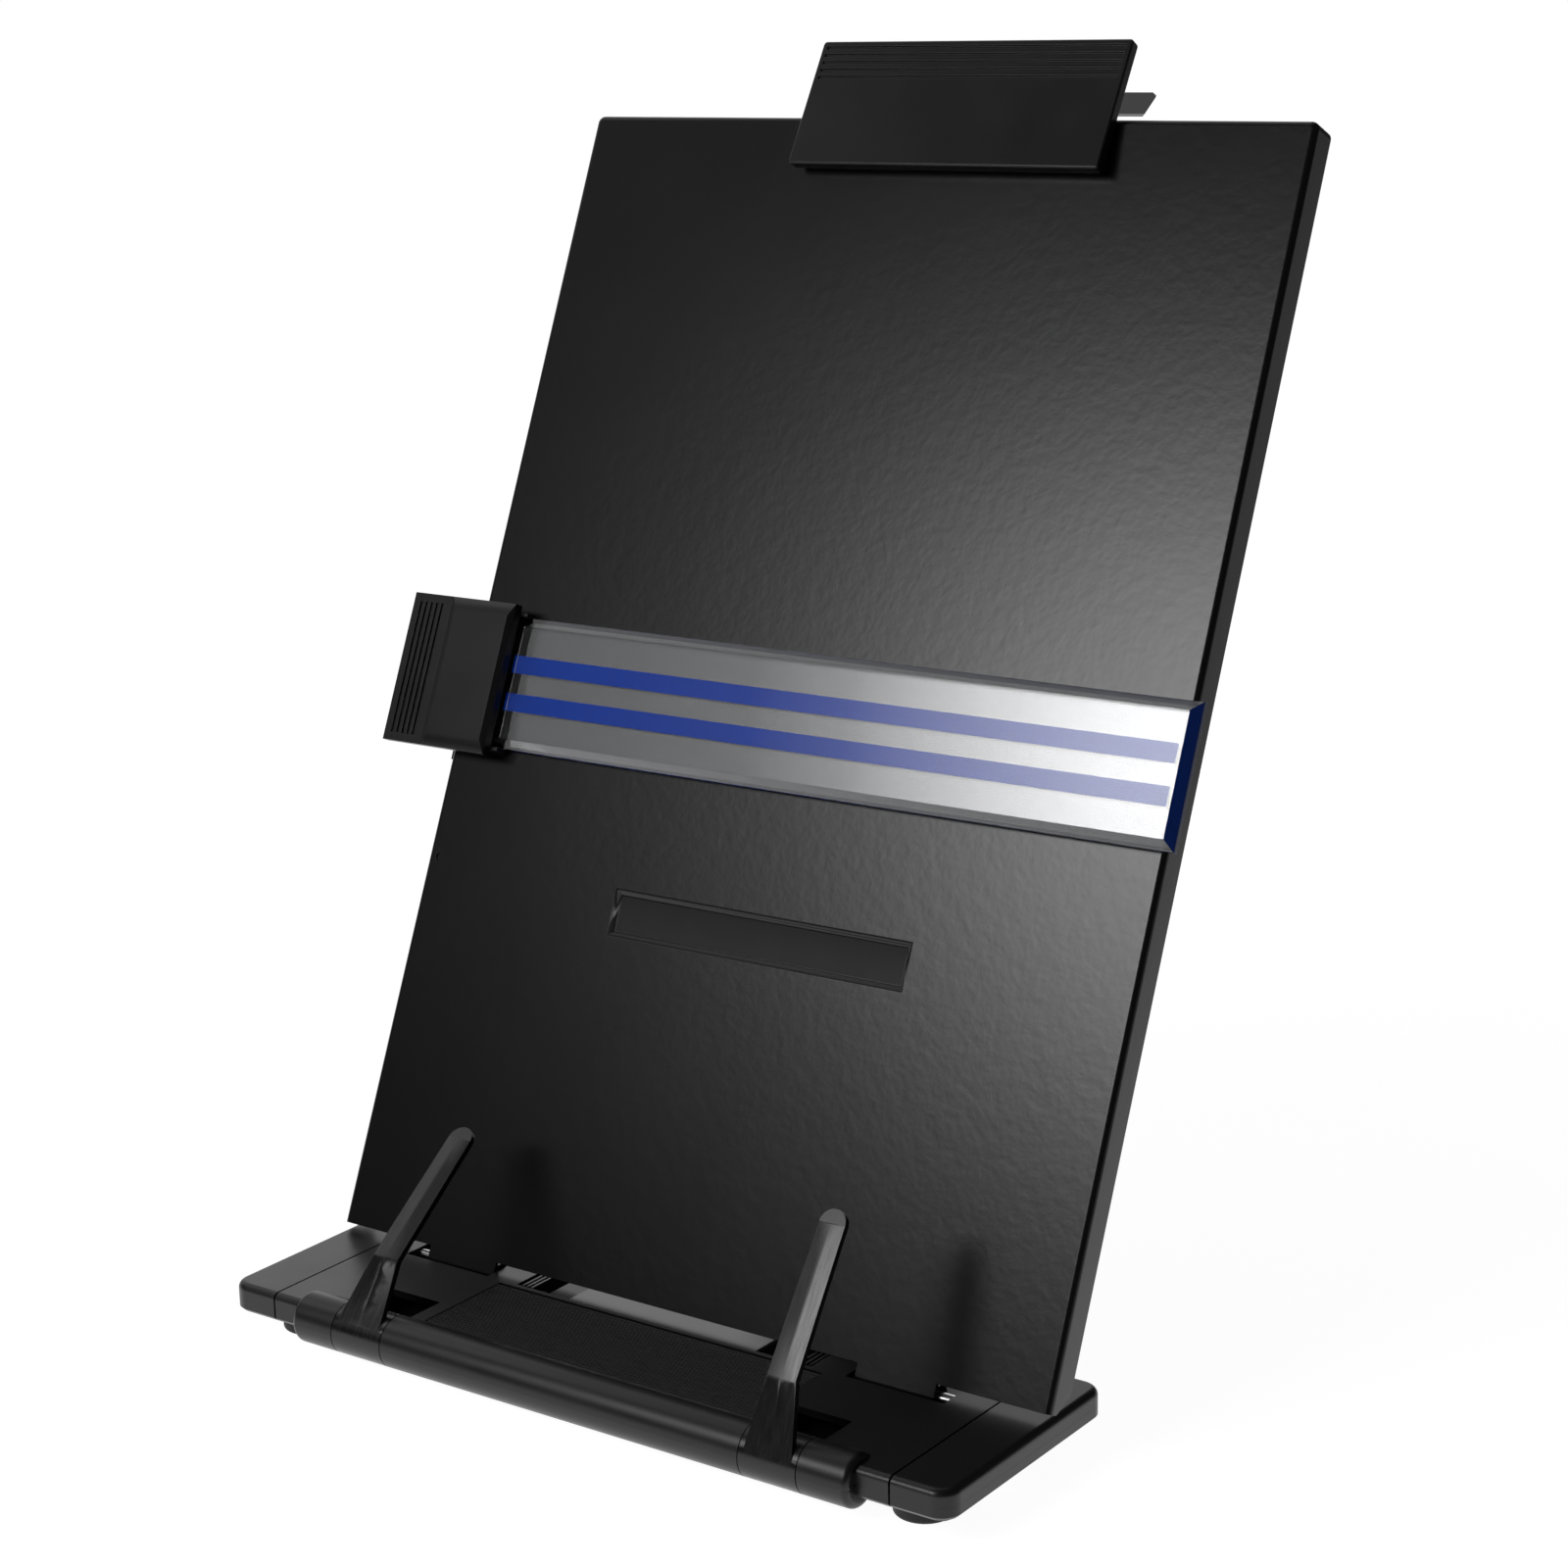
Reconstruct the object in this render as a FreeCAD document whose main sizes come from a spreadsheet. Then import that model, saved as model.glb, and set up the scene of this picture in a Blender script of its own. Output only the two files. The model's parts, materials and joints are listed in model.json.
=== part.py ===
import FreeCAD, Part
import math
import os
import re
import Sketcher

# Copy holder with line guide: a flanged steel board hinged on a low plastic base, propped from
# behind by a pressed steel leg that stands in the notches of a rear foot. A clear ruler slides
# up and down the board, a sprung clip slides along its top edge, and two page arms turn on the
# roll at the front of the base.
# Frame: X to the right, Y to the back, Z up. Origin on the desk, under the middle of the hinge.

os.makedirs("parts", exist_ok=True)
doc = FreeCAD.newDocument("CopyHolder")
sheet = doc.addObject("Spreadsheet::Sheet", "Sizes")
nodes = []
V = FreeCAD.Vector
X_AXIS = V(1, 0, 0)
Y_AXIS = V(0, 1, 0)

# Driving dimensions, in millimetres and degrees
SIZES = {
    # Clearances
    "side_gap": 0.25,
    "slip_gap": 0.4,
    "touch_gap": 0.3,
    "bore_gap": 0.05,
    "seam_gap": 0.5,
    # Base casing
    "base_width": 210,
    "base_front": 42.6,
    "base_rear": 23.1,
    "base_top": 13,
    "base_parting": 9,
    "base_underside": 5.8,
    "base_wall": 1.8,
    "base_floor": 1.2,
    "base_corner": 5,
    "base_edge_round": 1.8,
    "lower_edge_cut": 0.9,
    "end_seam": 90,
    "under_plate_thick": 1,
    "under_plate_inset": 2.5,
    "boss_round": 3,
    # Front roll and page arms
    "roll_front": 39.8,
    "roll_height": 8.6,
    "roll_round": 6.3,
    "roll_wall": 1.7,
    "roll_half_length": 81.3,
    "roll_end_round": 1.6,
    "hub_inner": 52.4,
    "hub_outer": 68.2,
    "axle_round": 2,
    "washer_round": 4.8,
    "washer_thick": 0.5,
    "arm_bend_reach": 18.8,
    "arm_tip_reach": 55,
    "arm_tip_lead": 23.2,
    "arm_thick": 1.6,
    "arm_root_width": 13,
    "arm_bend_width": 7.6,
    "arm_tip_width": 6.8,
    "arm_ridge": 0.5,
    "arm_left_angle": 18.5,
    "arm_right_angle": 0.5,
    # Tray behind the roll
    "tray_rear": 5.6,
    "tray_cutout": 80,
    "pocket_back": 24.2,
    "insert_half_width": 48,
    "insert_front": 34.2,
    "insert_rear": 7.2,
    "insert_depth": 1,
    "insert_plate": 0.6,
    "rib_pitch": 1.05,
    "rib_width": 0.5,
    "ledge_inner": 44,
    "ledge_outer": 53.4,
    "ledge_back": 12,
    "comb_inner": 39.8,
    "comb_rib": 0.6,
    "comb_pitch": 1.35,
    # Hinge and board
    "hinge_height": 11,
    "board_tilt": 23.4,
    "board_width": 210,
    "board_length": 297.5,
    "board_rise": 3,
    "sheet_thick": 1,
    "flange_depth": 8,
    "fold_round": 1.5,
    "corner_round": 2,
    "knuckle_round": 3,
    "hinge_pin_round": 1.5,
    "knuckle_inner": 54,
    "knuckle_outer": 75.5,
    "hinge_pin_inner": 55.5,
    "hinge_pin_outer": 87.2,
    "saddle_half_depth": 4,
    "flange_cut_height": 4.6,
    "plate_width": 87,
    "plate_height": 11.2,
    "plate_low": 88,
    "plate_offset": 1.1,
    "plate_recess": 1.2,
    "plate_slope": 1.2,
    "dimple_round": 1.3,
    "dimple_depth": 0.6,
    "dimple_side": 101.1,
    "dimple_rise": 99.5,
    # Prop and rear foot
    "prop_reach": 12.8,
    "prop_stand_off": 1.5,
    "prop_half_width": 23,
    "prop_rod_round": 1.5,
    "prop_knuckle_round": 2.8,
    "prop_foot_round": 2.5,
    "prop_flange": 4,
    "bracket_height": 16,
    "bracket_width": 13,
    "bracket_ear": 1.2,
    "rivet_round": 2.2,
    "rivet_height": 0.8,
    "foot_half_width": 28,
    "foot_reach": 134,
    "foot_rise": 2,
    "foot_wall": 2,
    "foot_top_wall": 3.4,
    "notch_count": 7,
    "notch_pitch": 11.5,
    "notch_depth": 1.8,
    "notch_width": 6,
    "foot_slope_end": 31,
    # Feet and screws
    "pad_round": 7,
    "pad_side": 90.5,
    "pad_front": 29.6,
    "pad_rear": 13,
    "pad_edge_round": 1,
    "centre_pad_length": 40,
    "centre_pad_depth": 12,
    "heel_pad_depth": 12,
    "screw_round": 1.25,
    "screw_head_round": 2.4,
    "screw_head_depth": 1.2,
    "screw_length": 5.5,
    "screw_spare": 0.8,
    # Line guide
    "guide_middle": 146.5,
    "knob_outer": 123.2,
    "knob_inner": 88.9,
    "knob_height": 39.6,
    "knob_plate_thick": 2.5,
    "knob_lift": 0.6,
    "knob_body_drop": 3.9,
    "knob_body_inset": 1.6,
    "knob_cheek": 0.9,
    "knob_cheek_reach": 2.2,
    "panel_start": 110.1,
    "panel_rise": 1.5,
    "panel_side_slope": 2.6,
    "panel_end_slope": 3.5,
    "panel_inner_slope": 1,
    "groove_count": 5,
    "groove_pitch": 1.8,
    "groove_width": 0.8,
    "groove_depth": 0.5,
    "groove_margin": 2.2,
    "jaw_flange": 3,
    "jaw_web": 4,
    "jaw_inset": 2.4,
    "jaw_lip_reach": 8,
    "jaw_lip_thick": 3,
    "jaw_nub_drop": 3.6,
    "jaw_nub_width": 2.4,
    "brake_thick": 0.4,
    "ruler_height": 34.4,
    "ruler_thick": 3,
    "ruler_lift": 1.5,
    "ruler_overhang": 3.3,
    "ruler_bevel_width": 2.4,
    "ruler_bevel_depth": 1.6,
    "ruler_socket": 12,
    "stripe_height": 4.6,
    "stripe_spacing": 9.9,
    "stripe_thick": 0.15,
    "stripe_margin": 4,
    # Top clip
    "clip_offset": 8.6,
    "clip_width": 89.3,
    "clip_lean": 7,
    "clip_above": 12.9,
    "clip_below": 21,
    "clip_thick": 2.8,
    "clip_reach": 4.2,
    "clip_pivot_back": 1,
    "clip_ear_round": 3,
    "clip_ear_width": 2.4,
    "clip_groove_count": 5,
    "clip_groove_pitch": 2.05,
    "clip_groove_width": 0.8,
    "clip_groove_margin": 1.5,
    "saddle_width": 60,
    "saddle_wall": 2,
    "saddle_drop": 12,
    "lever_width": 92,
    "lever_rise": 11.5,
    "lever_back": 4.4,
    "lever_gap": 4.4,
    "lever_end_cut": 1.6,
    "clip_pad_height": 4.5,
    "spring_wire": 0.9,
    "spring_turns": 6,
    "spring_fit": 0.15,
}
names = list(SIZES)
for row, name in enumerate(names, 1):
    sheet.set("A%d" % row, name)
    sheet.set("B%d" % row, str(SIZES[name]))
    sheet.setAlias("B%d" % row, name)

doc.recompute()


def ex(text):
    """Turns words of the sheet in an expression into references to its cells."""
    return re.sub(r"\b(" + "|".join(names) + r")\b", r"Sizes.\1", str(text))


def val(text):
    """The value of an expression, in millimetres or degrees."""
    found = sheet.evalExpression(ex(text))
    return float(getattr(found, "Value", found))


def bind(thing, prop, text):
    thing.setExpression(prop, ex(text))


def place_at(thing, x, y, z):
    for letter, text in zip("xyz", (x, y, z)):
        bind(thing, "Placement.Base." + letter, text)


def box(name, x, y, z):
    """A block between two expressions along each axis."""
    block = doc.addObject("Part::Box", name)
    for prop, span in zip(("Length", "Width", "Height"), (x, y, z)):
        bind(block, prop, "(%s) - (%s)" % (span[1], span[0]))
    place_at(block, x[0], y[0], z[0])
    return block


def rod(name, x, y, z, radius):
    """A cylinder along X between two expressions."""
    bar = doc.addObject("Part::Cylinder", name)
    bar.Placement = FreeCAD.Placement(V(0, 0, 0), FreeCAD.Rotation(Y_AXIS, 90))
    bind(bar, "Radius", radius)
    bind(bar, "Height", "(%s) - (%s)" % (x[1], x[0]))
    place_at(bar, x[0], y, z)
    return bar


def post(name, x, y, z, radius):
    """An upright cylinder between two expressions."""
    bar = doc.addObject("Part::Cylinder", name)
    bind(bar, "Radius", radius)
    bind(bar, "Height", "(%s) - (%s)" % (z[1], z[0]))
    place_at(bar, x, y, z[0])
    return bar


def stud(name, x, y, z, radius):
    """A cylinder along Y between two expressions."""
    bar = doc.addObject("Part::Cylinder", name)
    bar.Placement = FreeCAD.Placement(V(0, 0, 0), FreeCAD.Rotation(X_AXIS, -90))
    bind(bar, "Radius", radius)
    bind(bar, "Height", "(%s) - (%s)" % (y[1], y[0]))
    place_at(bar, x, y[0], z)
    return bar


def fuse(name, pieces):
    joined = doc.addObject("Part::MultiFuse", name)
    joined.Shapes = pieces
    return joined


def cut(name, base, tools):
    """Cuts every tool from the base."""
    doc.recompute()
    tool = tools[0] if len(tools) == 1 else fuse(name + "_tools", tools)
    result = doc.addObject("Part::Cut", name)
    result.Base = base
    result.Tool = tool
    doc.recompute()
    if result.Shape.Volume > base.Shape.Volume - 1e-6:
        raise RuntimeError(name + ": the cut removed nothing")
    return result


def common(name, pieces):
    shared = doc.addObject("Part::MultiCommon", name)
    shared.Shapes = pieces
    return shared


def rounded(name, base, radius, wanted, kind="Part::Fillet"):
    """Rounds, or with Part::Chamfer bevels, the edges of a Part object that the test picks."""
    doc.recompute()
    amount = val(radius)
    picked = [(i, amount, amount) for i, edge in enumerate(base.Shape.Edges, 1) if wanted(edge)]
    if not picked:
        raise RuntimeError(name + ": no edge found")
    result = doc.addObject(kind, name)
    result.Base = base
    result.Edges = picked
    return result


def side_span(side, low, high):
    """A span on the right, or its mirror image on the left."""
    return (low, high) if side > 0 else ("-(%s)" % high, "-(%s)" % low)


def mirrored(side, text):
    return text if side > 0 else "-(%s)" % text


def new_body(label):
    body = doc.addObject("PartDesign::Body", label)
    body.Label = label
    return body


def sketch_on(body, name, role, offset):
    """A sketch on one of the body's own origin planes, moved along the plane's normal."""
    sketch = body.newObject("Sketcher::SketchObject", name)
    plane = next(f for f in body.Origin.OriginFeatures if f.Role == role)
    sketch.AttachmentSupport = [(plane, "")]
    sketch.MapMode = "FlatFace"
    bind(sketch, "AttachmentOffset.Base.z", offset)
    return sketch


def outline(body, name, role, offset, points):
    """A closed outline of straight lines whose corners are bound to expressions."""
    sketch = sketch_on(body, name, role, offset)
    corners = [V(val(x), val(y), 0) for x, y in points]
    count = len(corners)
    for i in range(count):
        sketch.addGeometry(Part.LineSegment(corners[i], corners[(i + 1) % count]), False)
    for i in range(count):
        sketch.addConstraint(Sketcher.Constraint("Coincident", i, 2, (i + 1) % count, 1))
    for i, (x, y) in enumerate(points):
        for kind, text in (("DistanceX", x), ("DistanceY", y)):
            number = sketch.addConstraint(Sketcher.Constraint(kind, i, 1, val(text)))
            sketch.setExpression("Constraints[%d]" % number, ex(text))
    return sketch


def rectangle(x, y):
    return [(x[0], y[0]), (x[1], y[0]), (x[1], y[1]), (x[0], y[1])]


def pad(body, sketch, length, back=False):
    feature = body.newObject("PartDesign::Pad", sketch.Name + "_pad")
    feature.Profile = sketch
    bind(feature, "Length", length)
    feature.Reversed = back
    sketch.Visibility = False
    doc.recompute()
    return feature


def pocket(body, sketch, length, back=False):
    before = body.Shape.Volume
    feature = body.newObject("PartDesign::Pocket", sketch.Name + "_pocket")
    feature.Profile = sketch
    bind(feature, "Length", length)
    feature.Reversed = back
    doc.recompute()
    if body.Shape.Volume > before - 1e-6:
        raise RuntimeError(sketch.Name + ": the pocket removed nothing")
    return feature


def dress(body, kind, radius, wanted):
    """Rounds or bevels the edges of the body that the test picks."""
    doc.recompute()
    base = body.Tip
    edges = ["Edge%d" % i for i, e in enumerate(base.Shape.Edges, 1) if wanted(e)]
    if not edges:
        raise RuntimeError(body.Label + ": no edge found")
    feature = body.newObject("PartDesign::" + kind, body.Name + "_" + kind.lower())
    feature.Base = (base, edges)
    bind(feature, "Radius" if kind == "Fillet" else "Size", radius)
    doc.recompute()
    return feature


def near(a, b):
    return abs(a - b) < 1e-4


def runs_along(edge, axis):
    """True for a straight edge along one of the axes 0, 1 or 2."""
    if not isinstance(edge.Curve, (Part.Line, Part.LineSegment)):
        return False
    ends = [v.Point for v in edge.Vertexes]
    return all(near(ends[0][k], ends[1][k]) for k in range(3) if k != axis)


def all_at(edge, axis, value):
    return all(near(v.Point[axis], value) for v in edge.Vertexes)


def keep(thing, label, place=None):
    """Marks an object as a finished sub-part."""
    if place is not None and thing.TypeId in ("Part::Box", "Part::Cylinder"):
        group = doc.addObject("Part::Compound", label + "_group")
        group.Links = [thing]
        thing = group
    thing.Label = label
    if place is not None:
        thing.Placement = place
    nodes.append(thing)
    return thing


def board_place():
    """The frame of the leaning board: hinge axis along X, Z up the board, Y out of its back."""
    turn = FreeCAD.Rotation(X_AXIS, -val("board_tilt"))
    return FreeCAD.Placement(V(0, 0, val("hinge_height")), turn)


FACE = "-knuckle_round"
BACK = "(sheet_thick - knuckle_round)"
FLANGE_BACK = "(flange_depth - knuckle_round)"
BOARD_TOP = "(board_rise + board_length)"
HALF_BOARD = "(board_width / 2)"
FLOOR_TOP = "(base_underside + base_floor)"
PROP_PIVOT = "(plate_low + plate_height + prop_reach)"
PLATE_LOW = "(base_underside - under_plate_thick)"
LID_UNDER = "(base_top - base_wall)"
HALF_BASE = "(base_width / 2)"


# Base casing

def screw_places():
    outer = "((end_seam + base_width / 2) / 2)"
    inner = "(hub_outer + boss_round + base_wall + 1)"
    middle = "(insert_half_width / 2)"
    for side in (-1, 1):
        yield mirrored(side, outer), "-(base_front / 4)"
        yield mirrored(side, inner), "-(base_front / 3)"
        yield mirrored(side, middle), "-(base_front / 3)"


def roll_tube(name, x):
    return rod(name, x, "-roll_front", "roll_height", "roll_round - roll_wall")


def roll_hollows(name):
    """The room inside the three stretches of the roll, and the free room round each hub."""
    tools = [roll_tube(name + "_middle", ("-(hub_inner - roll_wall)", "hub_inner - roll_wall"))]
    for side, word in ((-1, "left"), (1, "right")):
        end = side_span(side, "hub_outer + roll_wall", "roll_half_length - roll_wall")
        hub = side_span(side, "hub_inner", "hub_outer")
        tools.append(roll_tube(name + "_" + word, end))
        tools.append(rod(name + "_hub_" + word, hub, "-roll_front", "roll_height",
                         "roll_round + touch_gap"))
    tools.append(rod(name + "_axle", ("-(roll_half_length - roll_wall)",
                                      "roll_half_length - roll_wall"),
                     "-roll_front", "roll_height", "axle_round + bore_gap"))
    return tools


def roll_half(name, upper):
    """Half of the round front roll, with rounded ends."""
    whole = rod(name + "_round", ("-roll_half_length", "roll_half_length"), "-roll_front",
                "roll_height", "roll_round")
    soft = rounded(name + "_soft", whole, "roll_end_round",
                   lambda e: isinstance(e.Curve, Part.Circle))
    z = ("roll_height", "roll_height + 2 * roll_round")
    if not upper:
        z = ("roll_height - 2 * roll_round", "roll_height")
    half = box(name + "_side", ("-2 * roll_half_length", "2 * roll_half_length"),
               ("-(roll_front + 2 * roll_round)", "2 * roll_round - roll_front"), z)
    return common(name, [soft, half])


def make_base_lower_shell():
    blank = new_body("lower_shell_blank")
    x = ("-base_width / 2", "base_width / 2")
    y = ("-base_front", "base_rear")
    pad(blank, outline(blank, "lower_outline", "XY_Plane", "base_underside", rectangle(x, y)),
        "base_parting - base_underside")
    dress(blank, "Fillet", "base_corner", lambda e: runs_along(e, 2))
    dress(blank, "Chamfer", "lower_edge_cut", lambda e: all_at(e, 2, val("base_underside")))
    inner_x = ("base_wall - base_width / 2", "base_width / 2 - base_wall")
    inner_y = ("base_wall - base_front", "base_rear - base_wall")
    pocket(blank, outline(blank, "lower_room", "XY_Plane", FLOOR_TOP,
                          rectangle(inner_x, inner_y)), "base_parting", back=True)
    whole = fuse("lower_shell_whole", [blank, roll_half("lower_roll", False)])
    tools = roll_hollows("lower_hollow")
    tools.append(box("roll_split", ("-(roll_half_length + side_gap)", "roll_half_length + side_gap"),
                     ("-(roll_front + 2 * roll_round)", "touch_gap + roll_round - roll_front"),
                     ("roll_height", "base_top")))
    tools.append(box("foot_way", ("-(foot_half_width + side_gap)", "foot_half_width + side_gap"),
                     ("base_rear - 2 * base_wall", "base_rear + base_wall"),
                     (FLOOR_TOP, "base_top")))
    for side in (-1, 1):
        seam = side_span(side, "end_seam - seam_gap / 2", "end_seam + seam_gap / 2")
        tools.append(box("front_seam", seam, ("-(base_front + 1)", "seam_gap - base_front"),
                         ("base_underside - 1", "base_top")))
    for x, y in screw_places():
        tools.append(post("lower_screw_way", x, y, ("base_underside - 1", "base_parting"),
                          "screw_round + side_gap"))
    keep(cut("base_lower_shell_cut", whole, tools), "base_lower_shell")


def make_tray_cover():
    blank = new_body("tray_cover_blank")
    low = "-(end_seam - seam_gap / 2)"
    high = "end_seam - seam_gap / 2"
    shape = [(low, "-base_front"), (high, "-base_front"), (high, "base_rear"),
             ("tray_cutout", "base_rear"), ("tray_cutout", "-tray_rear"),
             ("-tray_cutout", "-tray_rear"), ("-tray_cutout", "base_rear"), (low, "base_rear")]
    pad(blank, outline(blank, "cover_outline", "XY_Plane", "base_parting", shape),
        "base_top - base_parting")
    top = val("base_top")
    front = -val("base_front")
    rear = val("base_rear")
    dress(blank, "Fillet", "base_edge_round",
          lambda e: runs_along(e, 0) and all_at(e, 2, top)
          and (all_at(e, 1, front) or all_at(e, 1, rear)))
    inside = [(low + " + base_wall", "base_wall - base_front"),
              (high + " - base_wall", "base_wall - base_front"),
              (high + " - base_wall", "base_rear - base_wall"),
              ("tray_cutout + base_wall", "base_rear - base_wall"),
              ("tray_cutout + base_wall", "-(tray_rear + base_wall)"),
              ("-(tray_cutout + base_wall)", "-(tray_rear + base_wall)"),
              ("-(tray_cutout + base_wall)", "base_rear - base_wall"),
              (low + " + base_wall", "base_rear - base_wall")]
    pocket(blank, outline(blank, "cover_room", "XY_Plane", "base_parting", inside),
           "base_top - base_parting - base_wall", back=True)
    pieces = [blank, roll_half("upper_roll", True)]
    for side in (-1, 1):
        pieces.append(box("ledge", side_span(side, "ledge_inner", "ledge_outer"),
                          ("-(tray_rear + 1)", "ledge_back"), ("base_parting", "base_top")))
        comb = side_span(side, "comb_inner", "ledge_inner + 1")
        pieces.append(box("comb_floor", comb, ("1 - tray_rear", "ledge_back"),
                          ("base_parting", "base_top - 2 * insert_depth")))
        for i in range(3):
            start = "comb_inner + %d * comb_pitch" % i
            pieces.append(box("comb_tooth", side_span(side, start, start + " + comb_rib"),
                              ("1 - tray_rear", "ledge_back / 2"),
                              ("base_parting", "base_top - touch_gap")))
    for x, y in screw_places():
        if abs(val(x)) < val("end_seam"):
            pieces.append(post("cover_boss", x, y, (FLOOR_TOP, "base_top - base_wall / 2"),
                               "boss_round"))
    whole = fuse("tray_cover_whole", pieces)
    tools = roll_hollows("upper_hollow")
    tools.append(box("roll_under", ("-2 * roll_half_length", "2 * roll_half_length"),
                     ("-(roll_front + 2 * roll_round)", "roll_round - roll_front"),
                     ("0", "roll_height")))
    for side in (-1, 1):
        tools.append(box("arm_pocket", side_span(side, "hub_inner", "hub_outer"),
                         ("-(roll_front)", "-pocket_back"), ("base_underside", "2 * base_top")))
        pin = side_span(side, "tray_cutout - 1", "hinge_pin_outer + side_gap")
        tools.append(rod("cover_pin_way", pin, "0", "hinge_height",
                         "hinge_pin_round + bore_gap"))
    tools.append(box("insert_seat", ("-(insert_half_width + side_gap)",
                                     "insert_half_width + side_gap"),
                     ("-(insert_front + side_gap)", "side_gap - insert_rear"),
                     ("base_top - insert_depth", "2 * base_top")))
    for x, y in screw_places():
        if abs(val(x)) < val("end_seam"):
            tools.append(post("cover_screw_way", x, y, ("0", PLATE_LOW + " + screw_length + screw_spare"),
                              "screw_round"))
    keep(cut("tray_cover_cut", whole, tools), "tray_cover")


def make_end_cap(side, word):
    cap = new_body("end_cap_" + word + "_blank")
    inner = "end_seam + seam_gap / 2"
    x = side_span(side, inner, "base_width / 2")
    y = ("-base_front", "base_rear")
    pad(cap, outline(cap, "cap_outline_" + word, "XY_Plane", "base_parting", rectangle(x, y)),
        "base_top - base_parting")
    edge = side * val("base_width / 2")
    top = val("base_top")
    dress(cap, "Fillet", "base_corner", lambda e: runs_along(e, 2) and all_at(e, 0, edge))
    seam = side * val(inner)
    dress(cap, "Fillet", "base_edge_round",
          lambda e: all_at(e, 2, top) and not all_at(e, 0, seam))
    room_x = side_span(side, inner + " + base_wall", "base_width / 2 - base_wall")
    room_y = ("base_wall - base_front", "base_rear - base_wall")
    pocket(cap, outline(cap, "cap_room_" + word, "XY_Plane", "base_parting",
                        rectangle(room_x, room_y)),
           "base_top - base_parting - base_wall", back=True)
    x, y = next(p for p in screw_places() if val(p[0]) * side > val("end_seam"))
    boss = post("cap_boss", x, y, (FLOOR_TOP, "base_top - base_wall / 2"), "boss_round")
    hole = post("cap_screw_way", x, y, ("0", PLATE_LOW + " + screw_length + screw_spare"), "screw_round")
    whole = fuse("end_cap_whole_" + word, [cap, boss])
    keep(cut("end_cap_cut_" + word, whole, [hole]), "end_cap_" + word)


def make_ribbed_insert():
    insert = new_body("ribbed_tray_insert")
    low = "base_top - insert_depth"
    x = ("-insert_half_width", "insert_half_width")
    pad(insert, outline(insert, "insert_outline", "XY_Plane", low,
                        rectangle(x, ("-insert_front", "-insert_rear"))), "insert_plate")
    first = ("-insert_front + rib_width", "-insert_front + 2 * rib_width")
    rib = outline(insert, "rib_outline", "XY_Plane", low, rectangle(x, first))
    raised = pad(insert, rib, "insert_depth")
    room = val("insert_front - insert_rear - 3 * rib_width")
    ribs = insert.newObject("PartDesign::LinearPattern", "ribs")
    ribs.Originals = [raised]
    ribs.Direction = (rib, ["V_Axis"])
    ribs.Occurrences = int(room / val("rib_pitch")) + 1
    ribs.Length = (ribs.Occurrences - 1) * val("rib_pitch")
    insert.Tip = ribs
    keep(insert, "ribbed_tray_insert")


def make_under_plate():
    plate = new_body("under_plate_blank")
    side = "base_width / 2 - under_plate_inset"
    front = "under_plate_inset - base_front"
    roll = "roll_half_length + 1"
    behind = "roll_round + 1 - roll_front"
    shape = [("-(%s)" % side, front), ("-(%s)" % roll, front), ("-(%s)" % roll, behind),
             (roll, behind), (roll, front), (side, front),
             (side, "base_rear - under_plate_inset"), ("-(%s)" % side, "base_rear - under_plate_inset")]
    pad(plate, outline(plate, "under_outline", "XY_Plane", PLATE_LOW, shape),
        "under_plate_thick")
    outer = val(side)
    dress(plate, "Fillet", "base_corner - under_plate_inset",
          lambda e: runs_along(e, 2) and (all_at(e, 0, outer) or all_at(e, 0, -outer)))
    holes = [post("under_screw_way", x, y, ("0", "base_underside"), "screw_round + side_gap")
             for x, y in screw_places()]
    keep(cut("under_plate_cut", plate, holes), "under_plate")


def make_base_screws():
    screws = []
    for x, y in screw_places():
        head = post("screw_head", x, y, (PLATE_LOW + " - screw_head_depth", PLATE_LOW),
                    "screw_head_round")
        shank = post("screw_shank", x, y, (PLATE_LOW, PLATE_LOW + " + screw_length"),
                     "screw_round")
        screws.append(fuse("screw", [head, shank]))
    keep(fuse("base_screws_all", screws), "base_screws")


def make_rubber_feet():
    feet = []
    for side in (-1, 1):
        for y in ("-pad_front", "pad_rear"):
            foot = post("foot_disc", mirrored(side, "pad_side"), y, ("0", PLATE_LOW),
                        "pad_round")
            feet.append(rounded("foot_soft", foot, "pad_edge_round",
                                lambda e: all_at(e, 2, 0)))
    keep(fuse("rubber_feet_all", feet), "rubber_feet")
    pad_block = box("centre_block", ("-centre_pad_length / 2", "centre_pad_length / 2"),
                    ("-centre_pad_depth / 2", "centre_pad_depth / 2"), ("0", PLATE_LOW))
    keep(rounded("centre_pad_soft", pad_block, "pad_edge_round * 2",
                 lambda e: runs_along(e, 2)), "centre_pad")


# Page arms

def tilt_place(angle):
    """The frame of a page arm: axle along X, Z towards the arm's bend."""
    return FreeCAD.Placement(V(0, -val("roll_front"), val("roll_height")),
                             FreeCAD.Rotation(X_AXIS, -angle))


def arm_section(width, origin, along, out, ridge):
    """One closed section of the blade: flat back, front with a low ridge in the middle."""
    half = width / 2
    thick = val("arm_thick")
    points = [(-half, 0), (0, ridge), (half, 0), (half, -thick), (-half, -thick)]
    corners = [origin + X_AXIS * x + out * y for x, y in points]
    return Part.makePolygon(corners + [corners[0]])


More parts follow.
